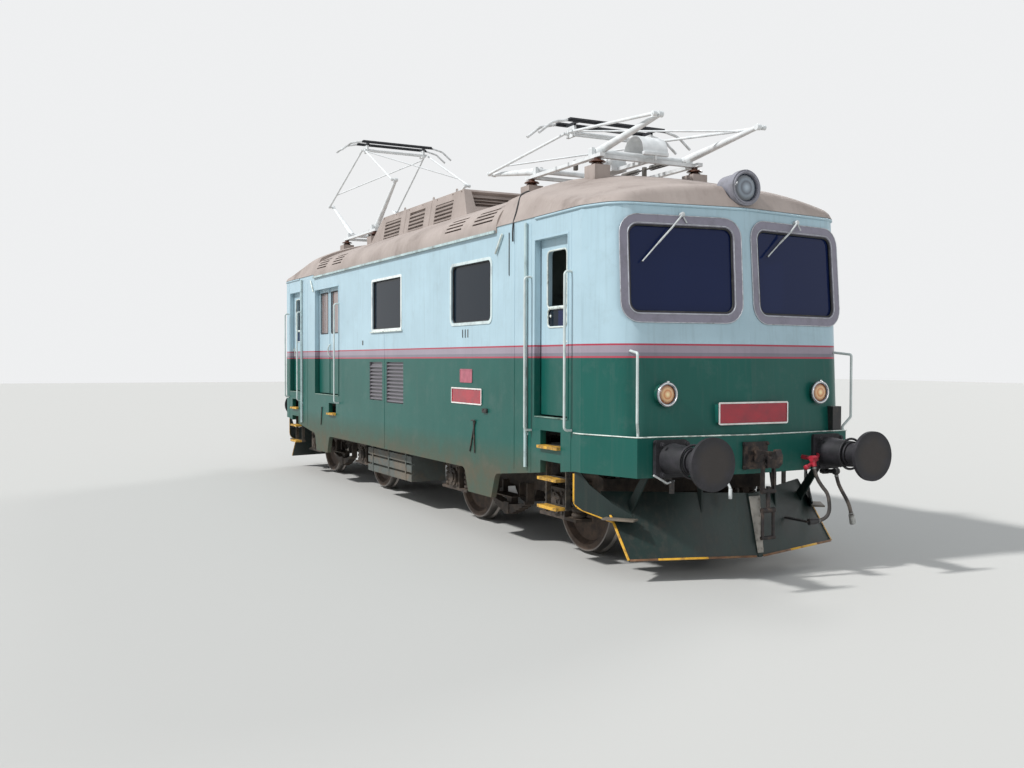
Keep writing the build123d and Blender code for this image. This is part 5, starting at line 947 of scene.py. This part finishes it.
# Raising cylinders: an air cylinder with two clamping hoops and its pipe, in the middle of each base.
DRUM_Z = 4.055
drum = begin("cylinder", "drum", vertices=32, radius=0.1, depth=0.34, location=(0, 0, DRUM_Z),
             rotation=(0, math.radians(90), 0))
pick(drum, lambda spot, normal: abs(normal.x) > 0.9)
bpy.ops.mesh.bevel(offset=0.028, segments=4, affect="EDGES")
bpy.ops.object.mode_set(mode="OBJECT")
drum_parts = [drum]
for x in (-0.1, 0.1):
    hoop = begin("torus", "hoop", major_radius=0.101, minor_radius=0.005, major_segments=32, minor_segments=6,
                 location=(x, 0, DRUM_Z), rotation=(0, math.radians(90), 0))
    bpy.ops.object.mode_set(mode="OBJECT")
    drum_parts.append(hoop)
air_pipe = [(-0.17, 0, 4.06), (-0.24, 0, 4.06), (-0.27, 0.03, 3.98), (-0.3, 0.08, 3.955)]
drum_parts.append(tube("air_pipe", air_pipe, 0.01, smooth=True))
drums = repeat(together("drum", drum_parts), "raising_cylinders", BASES[::2])
end_piece(drums, white, angle=50)

# Shaft covers: a half-round hood of 4 mm sheet over the middle of the raising shaft nearer the cab,
# with a bar along each lower edge and a leg below it.
hood = begin("cylinder", "shaft_cover", vertices=48, radius=0.18, depth=0.30, end_fill_type="NOTHING",
             location=(0.67, 0, 4.035), rotation=(math.radians(90), 0, 0))
pick(hood, lambda spot, normal: spot.z < 4.03)
bpy.ops.mesh.delete(type="FACE")
bpy.ops.object.mode_set(mode="OBJECT")
sheet = hood.modifiers.new("thickness", "SOLIDIFY")
sheet.thickness, sheet.offset = 0.004, 1
bpy.ops.object.modifier_apply(modifier="thickness")
hood_parts = [hood]
for x in (0.49, 0.85):
    hood_parts.append(bar("foot", (x - 0.02, -0.15, 4.0), (x + 0.02, 0.15, 4.036), 0.003))
    hood_parts.append(bar("leg", (x - 0.012, -0.012, 3.955), (x + 0.012, 0.012, 4.01), 0.003))
covers = repeat(together("shaft_cover", hood_parts), "shaft_covers", [BASES[0], BASES[3]])
end_piece(covers, white, angle=50)

# Buffers: cast barrels and forged plungers in charcoal paint, four bolts to each foot plate, a
# collar at the barrel's mouth and a head worn to greasy steel in its middle.
BUFFER_Y, BUFFER_Z = 0.875, 1.078
BUFFER_FOOT_X, BARREL_MOUTH_X = 5.775, 6.03
# Charcoal enamel: nearly black and dull, dusty in clouds of 110 mm, and rubbed to greasy steel within
# 200 mm of the middle of the head's face.
buffer_paint, place = finish_for("charcoal_enamel_greased")
axes = add(buffer_paint, "ShaderNodeSeparateXYZ", _0=place).outputs
far = add(buffer_paint, "ShaderNodeMath", {"operation": "ABSOLUTE"}, _0=axes[0]).outputs[0]
across_y = add(buffer_paint, "ShaderNodeMath", {"operation": "ABSOLUTE"}, _0=axes[1]).outputs[0]
flat = add(buffer_paint, "ShaderNodeCombineXYZ", _1=across_y, _2=axes[2]).outputs[0]
spread = add(buffer_paint, "ShaderNodeVectorMath", {"operation": "DISTANCE"}, _0=flat,
             _1=(0, BUFFER_Y, BUFFER_Z)).outputs["Value"]
clouds = add(buffer_paint, "ShaderNodeTexNoise", Vector=place, Scale=1000 / 111.1, Detail=9.0,
             Roughness=0.7).outputs[0]
worn = add(buffer_paint, "ShaderNodeMath", {"operation": "MULTIPLY_ADD"}, _0=clouds, _1=0.16, _2=spread).outputs[0]
worn = add(buffer_paint, "ShaderNodeMapRange", Value=worn, From_Min=0.2, From_Max=0.27,
           To_Min=0.75, To_Max=0.0).outputs[0]
face = add(buffer_paint, "ShaderNodeMath", {"operation": "GREATER_THAN"}, _0=far, _1=6.285).outputs[0]
worn = add(buffer_paint, "ShaderNodeMath", {"operation": "MULTIPLY"}, _0=worn, _1=face).outputs[0]
dusty = add(buffer_paint, "ShaderNodeMapRange", Value=clouds, From_Min=0.44, From_Max=0.68, To_Max=0.6).outputs[0]
colour = add(buffer_paint, "ShaderNodeMix", {"data_type": "RGBA"}, _0=dusty, _6=linear("#17171B"),
             _7=linear("#37333A"))
colour = add(buffer_paint, "ShaderNodeMix", {"data_type": "RGBA"}, _0=worn, _6=colour.outputs[2],
             _7=linear("#4A4644"))
grains = add(buffer_paint, "ShaderNodeTexNoise", Vector=place, Scale=1000 / 5.263, Detail=3.0).outputs[0]
rough = add(buffer_paint, "ShaderNodeMapRange", Value=grains, To_Min=0.5, To_Max=0.75).outputs[0]
rough = add(buffer_paint, "ShaderNodeMath", {"operation": "MULTIPLY_ADD"}, _0=worn, _1=-0.3, _2=rough).outputs[0]
bump = add(buffer_paint, "ShaderNodeBump", Distance=0.0006, Height=grains).outputs[0]
feed(buffer_paint, Base_Color=colour.outputs[2], Roughness=rough, Normal=bump, Metallic=worn)
dress(buffer_paint, "buffers")
bolt = hex_bolt(0.017)
BOLT_REACH = 0.127
spots = [facing(BUFFER_FOOT_X, -BUFFER_Y + dy, BUFFER_Z + dz, (1, 0, 0))
         for dy in (-BOLT_REACH, BOLT_REACH) for dz in (-BOLT_REACH, BOLT_REACH)]
spots = [corner @ spot for corner in CORNERS for spot in spots]
end_piece(repeat(bolt, "buffer_bolts", spots), buffer_paint)
collar = begin("torus", "collar", major_radius=0.137, minor_radius=0.011, major_segments=48, minor_segments=8,
               location=(BARREL_MOUTH_X, -BUFFER_Y, BUFFER_Z), rotation=(0, math.radians(90), 0))
bpy.ops.object.mode_set(mode="OBJECT")
end_piece(repeat(collar, "buffer_collars", CORNERS), buffer_paint, angle=60)

# Draw gear: forged hook and screw coupling, oily black over brown rust; the hook plate is bolted.
# Oiled forged steel: nearly black, with patches of brown rust and a greasy shine.
rusty = weathered("forged_steel_rusty_oiled", "#2A2829", "#3E3633", "#6C5C50",
                  cover=0.3, patch=60, grain=1.5, gloss=(0.4, 0.65), relief=0.6, metallic=0.5)
dress(rusty, "draw_gear")
bolt = hex_bolt(0.014)
HOOK_PLATE_X, BEAM_PLATE_X = 5.778, 5.703
spots = [facing(HOOK_PLATE_X, y, z, (1, 0, 0)) for y in (-0.125, 0.125) for z in (0.975, 1.181)]
end_piece(repeat(bolt, "hook_plate_bolts", [end @ spot for end in ENDS for spot in spots]), rusty)
plate = bar("beam_plate", (BEAM_PLATE_X - 0.015, 0.5, 0.972), (BEAM_PLATE_X, 0.602, 1.066), 0.003)
spots = [facing(BEAM_PLATE_X, y, z, (1, 0, 0)) for y in (0.518, 0.584) for z in (0.99, 1.048)]
small = [plate, repeat(hex_bolt(0.008), "bolts", spots)]
end_piece(repeat(together("beam_plate", small), "beam_plates", ENDS), enamel)

# Brake cocks and pipes: cast iron painted red at the main pipe's cocks and black on the others, a red
# pipe with hexagonal unions, and in pale grey a spare handle and a nozzle on its bracket.
# Enamel on cast iron: red or black by place, chipped to brown in clouds of 60 mm.
cock_paint, place = finish_for("enamel_cock_red")
axes = add(cock_paint, "ShaderNodeSeparateXYZ", _0=place).outputs
across_y = add(cock_paint, "ShaderNodeMath", {"operation": "ABSOLUTE"}, _0=axes[1]).outputs[0]
reds = add(cock_paint, "ShaderNodeMath", {"operation": "MULTIPLY"}, _0=within(cock_paint, across_y, 0.46, 0.74),
           _1=within(cock_paint, axes[2], 0.9, 1.2)).outputs[0]
clouds = add(cock_paint, "ShaderNodeTexNoise", Vector=place, Scale=1000 / 62.5, Detail=8.0, Roughness=0.7).outputs[0]
chips = add(cock_paint, "ShaderNodeMapRange", Value=clouds, From_Min=0.5, From_Max=0.64, To_Max=0.7).outputs[0]
red = add(cock_paint, "ShaderNodeMix", {"data_type": "RGBA"}, _0=chips, _6=linear("#A62334"), _7=linear("#4A2B29"))
dark = add(cock_paint, "ShaderNodeMix", {"data_type": "RGBA"}, _0=chips, _6=linear("#2B2A2B"), _7=linear("#55483F"))
colour = add(cock_paint, "ShaderNodeMix", {"data_type": "RGBA"}, _0=reds, _6=dark.outputs[2], _7=red.outputs[2])
grains = add(cock_paint, "ShaderNodeTexNoise", Vector=place, Scale=1000 / 4.167, Detail=2.0).outputs[0]
rough = add(cock_paint, "ShaderNodeMapRange", Value=grains, To_Min=0.35, To_Max=0.6).outputs[0]
bump = add(cock_paint, "ShaderNodeBump", Distance=0.0004, Height=grains).outputs[0]
feed(cock_paint, Base_Color=colour.outputs[2], Roughness=rough, Normal=bump)
dress(cock_paint, "air_cocks")
dress(zinc, "hose_head_b_front", "hose_head_b_rear")
red_line = [(5.735, 0.76, 1.062), (5.775, 0.735, 1.05), (5.835, 0.615, 0.99), (5.87, 0.50, 0.957)]
red_pipe = [tube("red_pipe", red_line, 0.016, smooth=True)]
for spot, way in (((5.87, 0.50, 0.957), (0.2, -0.9, -0.25)), ((5.80, 0.68, 1.022), (0.4, -0.8, -0.4))):
    ring = begin("cylinder", "ring", vertices=6, radius=0.026, depth=0.024)
    bpy.ops.mesh.bevel(offset=0.003, segments=1, affect="EDGES")
    bpy.ops.object.mode_set(mode="OBJECT")
    ring.data.transform(facing(*spot, way))
    red_pipe.append(ring)
# Red enamel on steel pipe, chipped to brown round the unions.
red_enamel = weathered("enamel_pipe_red", "#A62334", "#8F2230", "#4A2B29",
                       cover=0.3, patch=50, grain=2, gloss=(0.35, 0.55), relief=0.3)
end_piece(repeat(together("red_pipe", red_pipe), "red_pipes", ENDS), red_enamel, angle=50)
rod = tube("spare_handle", [(5.70, -0.83, 0.885), (5.74, -0.93, 0.872), (5.73, -1.06, 0.945)], 0.009)
nozzle = begin("cylinder", "nozzle", vertices=20, radius=0.016, depth=0.09, location=(5.86, -0.35, 0.765))
pick(nozzle, lambda spot, normal: abs(normal.z) > 0.9)
bpy.ops.mesh.bevel(offset=0.004, segments=2, affect="EDGES")
bpy.ops.object.mode_set(mode="OBJECT")
bracket = tube("bracket", [(5.72, -0.35, 0.93), (5.8, -0.35, 0.9), (5.86, -0.35, 0.81)], 0.012, smooth=True)
end_piece(repeat(together("spare", [rod, nozzle, bracket]), "pale_pipes", ENDS), wiper_paint, angle=50)

# Snow plough: welded plate in dark green, painted nearly black, partly as painted shade, dusty along its foot, with a
# worn nose plate, a dusty tread on each wing and yellow edge lines, painted orange-brown at the ends of the foot as
# painted shade.
# Dark green enamel on plate, painted nearly black, partly as painted shade: half dull, with pale dust in broad runs.
plough_paint = weathered("enamel_plough_green_black", "#0A2420", "#0D1C1A", "#3F3A32",
                         cover=0.16, patch=300, grain=3, gloss=(0.4, 0.65), relief=0.8, runs=0.35)
dress(plough_paint, "ploughs")
# Yellow enamel: bright and half glossy, chipped to brown steel at its edges.
edge_yellow = weathered("enamel_yellow_chipped", "#D9A72C", "#C8952A", "#6B4A30",
                        cover=0.36, patch=60, grain=2, gloss=(0.4, 0.65), relief=0.5)
# Grey enamel under dust: pale, dull and a little rough.
nose_paint = weathered("enamel_nose_dusty", "#A09B92", "#8A867E", "#554C42",
                       cover=0.35, patch=120, grain=2, gloss=(0.5, 0.7), relief=0.8)
# Bare steel tread under dry dust: no shine at all.
tread_paint = weathered("steel_tread_dusty", "#6E665B", "#5A544B", "#8A7D6C",
                        cover=0.4, patch=80, grain=2, gloss=(0.6, 0.8), relief=0.8)
# The yellow edge where it lies in shade, painted orange-brown as painted shade.
yellow_edge_in_shade = weathered("steel_edge_rusty", "#6E4B35", "#8A6A4A", "#3B2E26",
                   cover=0.4, patch=50, grain=2, gloss=(0.55, 0.75), relief=0.8, metallic=0.2)


def strip(name, a, b, normal, width, thick):
    """A flat bar from point to point, lying on a surface with a given normal."""
    a, b = Vector(a), Vector(b)
    along = (b - a).normalized()
    up_from = Vector(normal)
    up_from = (up_from - along * up_from.dot(along)).normalized()
    place = Matrix((along, up_from.cross(along), up_from)).transposed().to_4x4()
    piece = begin("cube", name, size=1, scale=((b - a).length, width, thick))
    bpy.ops.mesh.bevel(offset=min(thick * 0.35, 0.002), segments=2, affect="EDGES")
    bpy.ops.object.mode_set(mode="OBJECT")
    piece.data.transform(Matrix.Translation((a + b) / 2 + up_from * thick * 0.5) @ place)
    return piece


# Each wing stands behind the blade and toes in towards the middle. Its edge line steps down to the front.
WING_X, WING_Y = 4.935, -1.347
toe = math.radians(35.5)
wing_normal = Vector((math.sin(toe), -math.cos(toe), 0))
wing_line = ((-0.018, 0.895), (-0.018, 0.640), (0.012, 0.600), (0.075, 0.572), (0.215, 0.532), (0.385, 0.482))


def on_wing(u, z, out):
    """A place on the wing: so far along it from its rear edge, so high, and so far off its face."""
    return Vector((WING_X + u * math.cos(toe), WING_Y + u * math.sin(toe), z)) + wing_normal * out


wing = [on_wing(u, z, 0.002) for u, z in wing_line]
yellows = [strip("wing_edge", a, b, wing_normal, 0.034, 0.004) for a, b in zip(wing, wing[1:])]
# The blade runs from its outer corner to the nose. Its outer edge is yellow and so is the middle of its foot, whose
# ends are painted orange-brown as painted shade.
BLADE_TOP_Z, BLADE_FOOT_Z = 0.735, 0.19
corner_top, corner_low = Vector((5.045, -1.158, BLADE_TOP_Z)), Vector((5.505, -1.158, BLADE_FOOT_Z))
nose_top, nose_low = Vector((5.748, 0, BLADE_TOP_Z)), Vector((5.848, 0, BLADE_FOOT_Z))
blade_normal = Vector((0.70, -0.42, 0.50)).normalized()
lift = blade_normal * 0.003
blade_top = corner_top.lerp(corner_low, 0.35) + lift
yellows.append(strip("blade_edge", blade_top, corner_low + lift, blade_normal, 0.022, 0.004))
low_a, low_b = corner_low + lift, nose_low + lift
yellows.append(strip("foot_edge", low_a.lerp(low_b, 0.22), low_a.lerp(low_b, 0.60), blade_normal, 0.02, 0.004))
end_piece(repeat(together("yellow", yellows), "plough_edge_lines", CORNERS), edge_yellow)
# The ends of the foot's edge line, painted orange-brown as painted shade.
shaded_foot_lines = [strip("foot_rust", low_a.lerp(low_b, a), low_a.lerp(low_b, b), blade_normal, 0.02, 0.004)
              for a, b in ((0.01, 0.22), (0.60, 0.97))]
end_piece(repeat(together("rust", shaded_foot_lines), "plough_foot_rust", CORNERS), yellow_edge_in_shade)
# Nose plate: wide at the top, half as wide at the foot, bolted down both sides.
nose_normal = Vector((0.984, 0, 0.178))
nose_lift = nose_normal * 0.004
nose = strip("nose", nose_top.lerp(nose_low, 0.04) + nose_lift, nose_low.lerp(nose_top, 0.06) + nose_lift,
             nose_normal, 0.125, 0.006)
bpy.ops.object.mode_set(mode="EDIT")
pick(nose, lambda spot, normal: spot.z < 0.25)
bpy.ops.transform.resize(value=(1, 0.5, 1), center_override=(5.84, 0, 0.2))
bpy.ops.object.mode_set(mode="OBJECT")
nose_parts = [nose]
bolt = hex_bolt(0.008)
marks = []
for i in range(7):
    spot = nose_top.lerp(nose_low, 0.1 + 0.13 * i) + nose_normal * 0.010
    marks += [facing(spot.x, y, spot.z, nose_normal) for y in (-0.047 + 0.0045 * i, 0.047 - 0.0045 * i)]
nose_parts.append(repeat(bolt, "bolts", marks))
end_piece(repeat(together("nose", nose_parts), "plough_nose_plates", ENDS), nose_paint)
# Treads: one set on top of each wing, along its line.
tread = begin("cube", "tread", size=1, scale=(0.30, 0.12, 0.016))
bpy.ops.mesh.bevel(offset=0.003, segments=2, affect="EDGES")
bpy.ops.object.mode_set(mode="OBJECT")
tread.data.transform(Matrix.Translation(on_wing(0.44, 0.520, 0.055)) @ Matrix.Rotation(toe, 4, "Z"))
end_piece(repeat(tread, "plough_treads", CORNERS), tread_paint)

# Steps and handrails: chequer-plate treads edged in yellow on black hangers, and rails of bent tube in
# pale grey, welded to the wall at each foot. Gutters and drain pipes are of rolled steel.
# Enamel on chequer plate: black on the hangers, yellow on the edges, worn to brown in clouds of 77 mm;
# the chequers are 11 mm.
step_paint, place = finish_for("enamel_step_yellow")
axes = add(step_paint, "ShaderNodeSeparateXYZ", _0=place).outputs
across_y = add(step_paint, "ShaderNodeMath", {"operation": "ABSOLUTE"}, _0=axes[1]).outputs[0]
edge = add(step_paint, "ShaderNodeMath", {"operation": "GREATER_THAN"}, _0=across_y, _1=1.316).outputs[0]
clouds = add(step_paint, "ShaderNodeTexNoise", Vector=place, Scale=1000 / 76.92, Detail=9.0,
             Roughness=0.72).outputs[0]
wear = add(step_paint, "ShaderNodeMapRange", Value=clouds, From_Min=0.42, From_Max=0.58, To_Max=0.8).outputs[0]
yellow = add(step_paint, "ShaderNodeMix", {"data_type": "RGBA"}, _0=wear, _6=linear("#DCA93A"), _7=linear("#6B5233"))
black = add(step_paint, "ShaderNodeMix", {"data_type": "RGBA"}, _0=wear, _6=linear("#2C2B2A"), _7=linear("#5E5548"))
colour = add(step_paint, "ShaderNodeMix", {"data_type": "RGBA"}, _0=edge, _6=black.outputs[2], _7=yellow.outputs[2])
chequer = add(step_paint, "ShaderNodeTexChecker", Vector=place, Scale=1000 / 11.11).outputs["Fac"]
bump = add(step_paint, "ShaderNodeBump", Distance=0.0006, Height=chequer).outputs[0]
rough = add(step_paint, "ShaderNodeMapRange", Value=clouds, To_Min=0.4, To_Max=0.75).outputs[0]
feed(step_paint, Base_Color=colour.outputs[2], Roughness=rough, Normal=bump)
dress(step_paint, "steps")
# Pale grey enamel on steel tube: smooth, worn to dull metal where it is gripped.
rails = weathered("enamel_rail_grey", "#C9D2CF", "#BAC3C0", "#8B867E",
                  cover=0.1, patch=120, grain=1, gloss=(0.3, 0.5), relief=0.1)
dress(rails, "handrails")
# Pale blue enamel on rolled steel, with dark water runs.
gutter_paint = weathered("enamel_gutter_pale", "#B9CDCD", "#A6BABB", "#6F6C66",
                         cover=0.38, patch=180, grain=2, gloss=(0.4, 0.6), relief=0.3, runs=0.3)
dress(gutter_paint, "gutters_and_drains")

# Frame and running gear: castings and plates under black paint long covered with brown brake dust,
# lighter on ledges and springs; wheel rims are polished where they roll, discs are rusty.
# Black paint on rolled steel, nearly hidden by brown dust.
frame_black = weathered("frame_black_dusty", "#262524", "#312E2B", "#6A5D50",
                        cover=0.42, patch=300, grain=3, gloss=(0.6, 0.85), relief=1, runs=0.3)
dress(frame_black, "underframe")
# Grey-green enamel on sheet steel cabinets, dusty and dull.
box_paint = weathered("enamel_cabinet_dusty", "#565C58", "#474B48", "#76695A",
                      cover=0.45, patch=250, grain=3, gloss=(0.55, 0.8), relief=0.8)
dress(box_paint, "underfloor_equipment")
# Cast iron: dark brown-black and dull, its dust thick where a face looks up and in clouds of 200 mm, with
# a sand-cast grain of 8 mm, drawn that coarse to show.
bogie_iron, place = finish_for("cast_iron_dusty", Roughness=0.78)
slope = add(bogie_iron, "ShaderNodeNewGeometry").outputs["Normal"]
upwards_z = add(bogie_iron, "ShaderNodeSeparateXYZ", _0=slope).outputs[2]
lying = add(bogie_iron, "ShaderNodeMapRange", Value=upwards_z, From_Min=0.3, From_Max=0.9, To_Max=0.7).outputs[0]
clouds = add(bogie_iron, "ShaderNodeTexNoise", Vector=place, Scale=1000 / 200, Detail=10.0, Roughness=0.72).outputs[0]
dusty = add(bogie_iron, "ShaderNodeMapRange", Value=clouds, From_Min=0.4, From_Max=0.68, To_Max=0.75).outputs[0]
dusty = add(bogie_iron, "ShaderNodeMath", {"operation": "MAXIMUM"}, _0=dusty, _1=lying).outputs[0]
colour = add(bogie_iron, "ShaderNodeMix", {"data_type": "RGBA"}, _0=dusty, _6=linear("#2A2522"), _7=linear("#65574A"))
grains = add(bogie_iron, "ShaderNodeTexNoise", Vector=place, Scale=1000 / 7.692, Detail=4.0).outputs[0]
bump = add(bogie_iron, "ShaderNodeBump", Distance=0.0012, Height=grains).outputs[0]
feed(bogie_iron, Base_Color=colour.outputs[2], Normal=bump)
bogie_nodes = ("bogie_frame", "axle_boxes", "traction", "coil_spring")
dress(bogie_iron, *[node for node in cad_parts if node.startswith(bogie_nodes)])
BOGIE_X, AXLE_X, AXLE_Z = 2.93, 1.25, 0.528
COVER_Y, BOLT_CIRCLE = 1.150, 0.083
bolt = hex_bolt(0.009)
for name, x in (("front", BOGIE_X), ("rear", -BOGIE_X)):
    spots = []
    for axle in (-AXLE_X, AXLE_X):
        for way in (-1, 1):
            for angle in (math.radians(60 * i + 30) for i in range(6)):
                spots.append(facing(x + axle + BOLT_CIRCLE * math.cos(angle), way * COVER_Y,
                                    AXLE_Z + BOLT_CIRCLE * math.sin(angle), (0, way, 0)))
    end_piece(repeat(bolt, f"cover_bolts_{name}", spots, keep=True), bogie_iron, f"bogie_{name}")
bpy.data.objects.remove(bolt)
# Rolled steel: the rim bright where it rolls, from 475 mm out, the disc brown with rust and dust in
# clouds of 125 mm.
wheel_steel, place = finish_for("rolled_steel_wheel")
axes = add(wheel_steel, "ShaderNodeSeparateXYZ", _0=place).outputs
far = add(wheel_steel, "ShaderNodeMath", {"operation": "ABSOLUTE"}, _0=axes[0]).outputs[0]
from_pivot = add(wheel_steel, "ShaderNodeMath", {"operation": "SUBTRACT"}, _0=far, _1=BOGIE_X).outputs[0]
from_pivot = add(wheel_steel, "ShaderNodeMath", {"operation": "ABSOLUTE"}, _0=from_pivot).outputs[0]
flat = add(wheel_steel, "ShaderNodeCombineXYZ", _0=from_pivot, _2=axes[2]).outputs[0]
spread = add(wheel_steel, "ShaderNodeVectorMath", {"operation": "DISTANCE"}, _0=flat,
             _1=(AXLE_X, 0, AXLE_Z)).outputs["Value"]
tread = add(wheel_steel, "ShaderNodeMapRange", Value=spread, From_Min=0.475, From_Max=0.492).outputs[0]
clouds = add(wheel_steel, "ShaderNodeTexNoise", Vector=place, Scale=1000 / 125, Detail=9.0, Roughness=0.7).outputs[0]
soil = add(wheel_steel, "ShaderNodeMapRange", Value=clouds, From_Min=0.42, From_Max=0.66, To_Max=0.8).outputs[0]
disc = add(wheel_steel, "ShaderNodeMix", {"data_type": "RGBA"}, _0=soil, _6=linear("#3B2F28"), _7=linear("#5E4C3D"))
colour = add(wheel_steel, "ShaderNodeMix", {"data_type": "RGBA"}, _0=tread, _6=disc.outputs[2], _7=linear("#8B8682"))
grains = add(wheel_steel, "ShaderNodeTexNoise", Vector=place, Scale=1000 / 6.667, Detail=3.0).outputs[0]
bump = add(wheel_steel, "ShaderNodeBump", Distance=0.0008, Height=grains).outputs[0]
rough = add(wheel_steel, "ShaderNodeMath", {"operation": "MULTIPLY_ADD"}, _0=tread, _1=-0.4, _2=0.78).outputs[0]
feed(wheel_steel, Base_Color=colour.outputs[2], Normal=bump, Roughness=rough, Metallic=tread)
dress(wheel_steel, *[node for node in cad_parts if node.startswith("wheelset")])

# Inside: driving desks, seats and partitions of sheet steel in grey-green, and the machine block, which
# stands for the heavy plant between the cabs.
# Grey-green enamel on sheet steel, rubbed dark at the edges by use.
lining = weathered("enamel_cab_grey_green", "#6E7972", "#5F6A64", "#3D3A35",
                   cover=0.3, patch=200, grain=2, gloss=(0.5, 0.7), relief=0.3)
dress(lining, "cab_fittings", "machine_block")
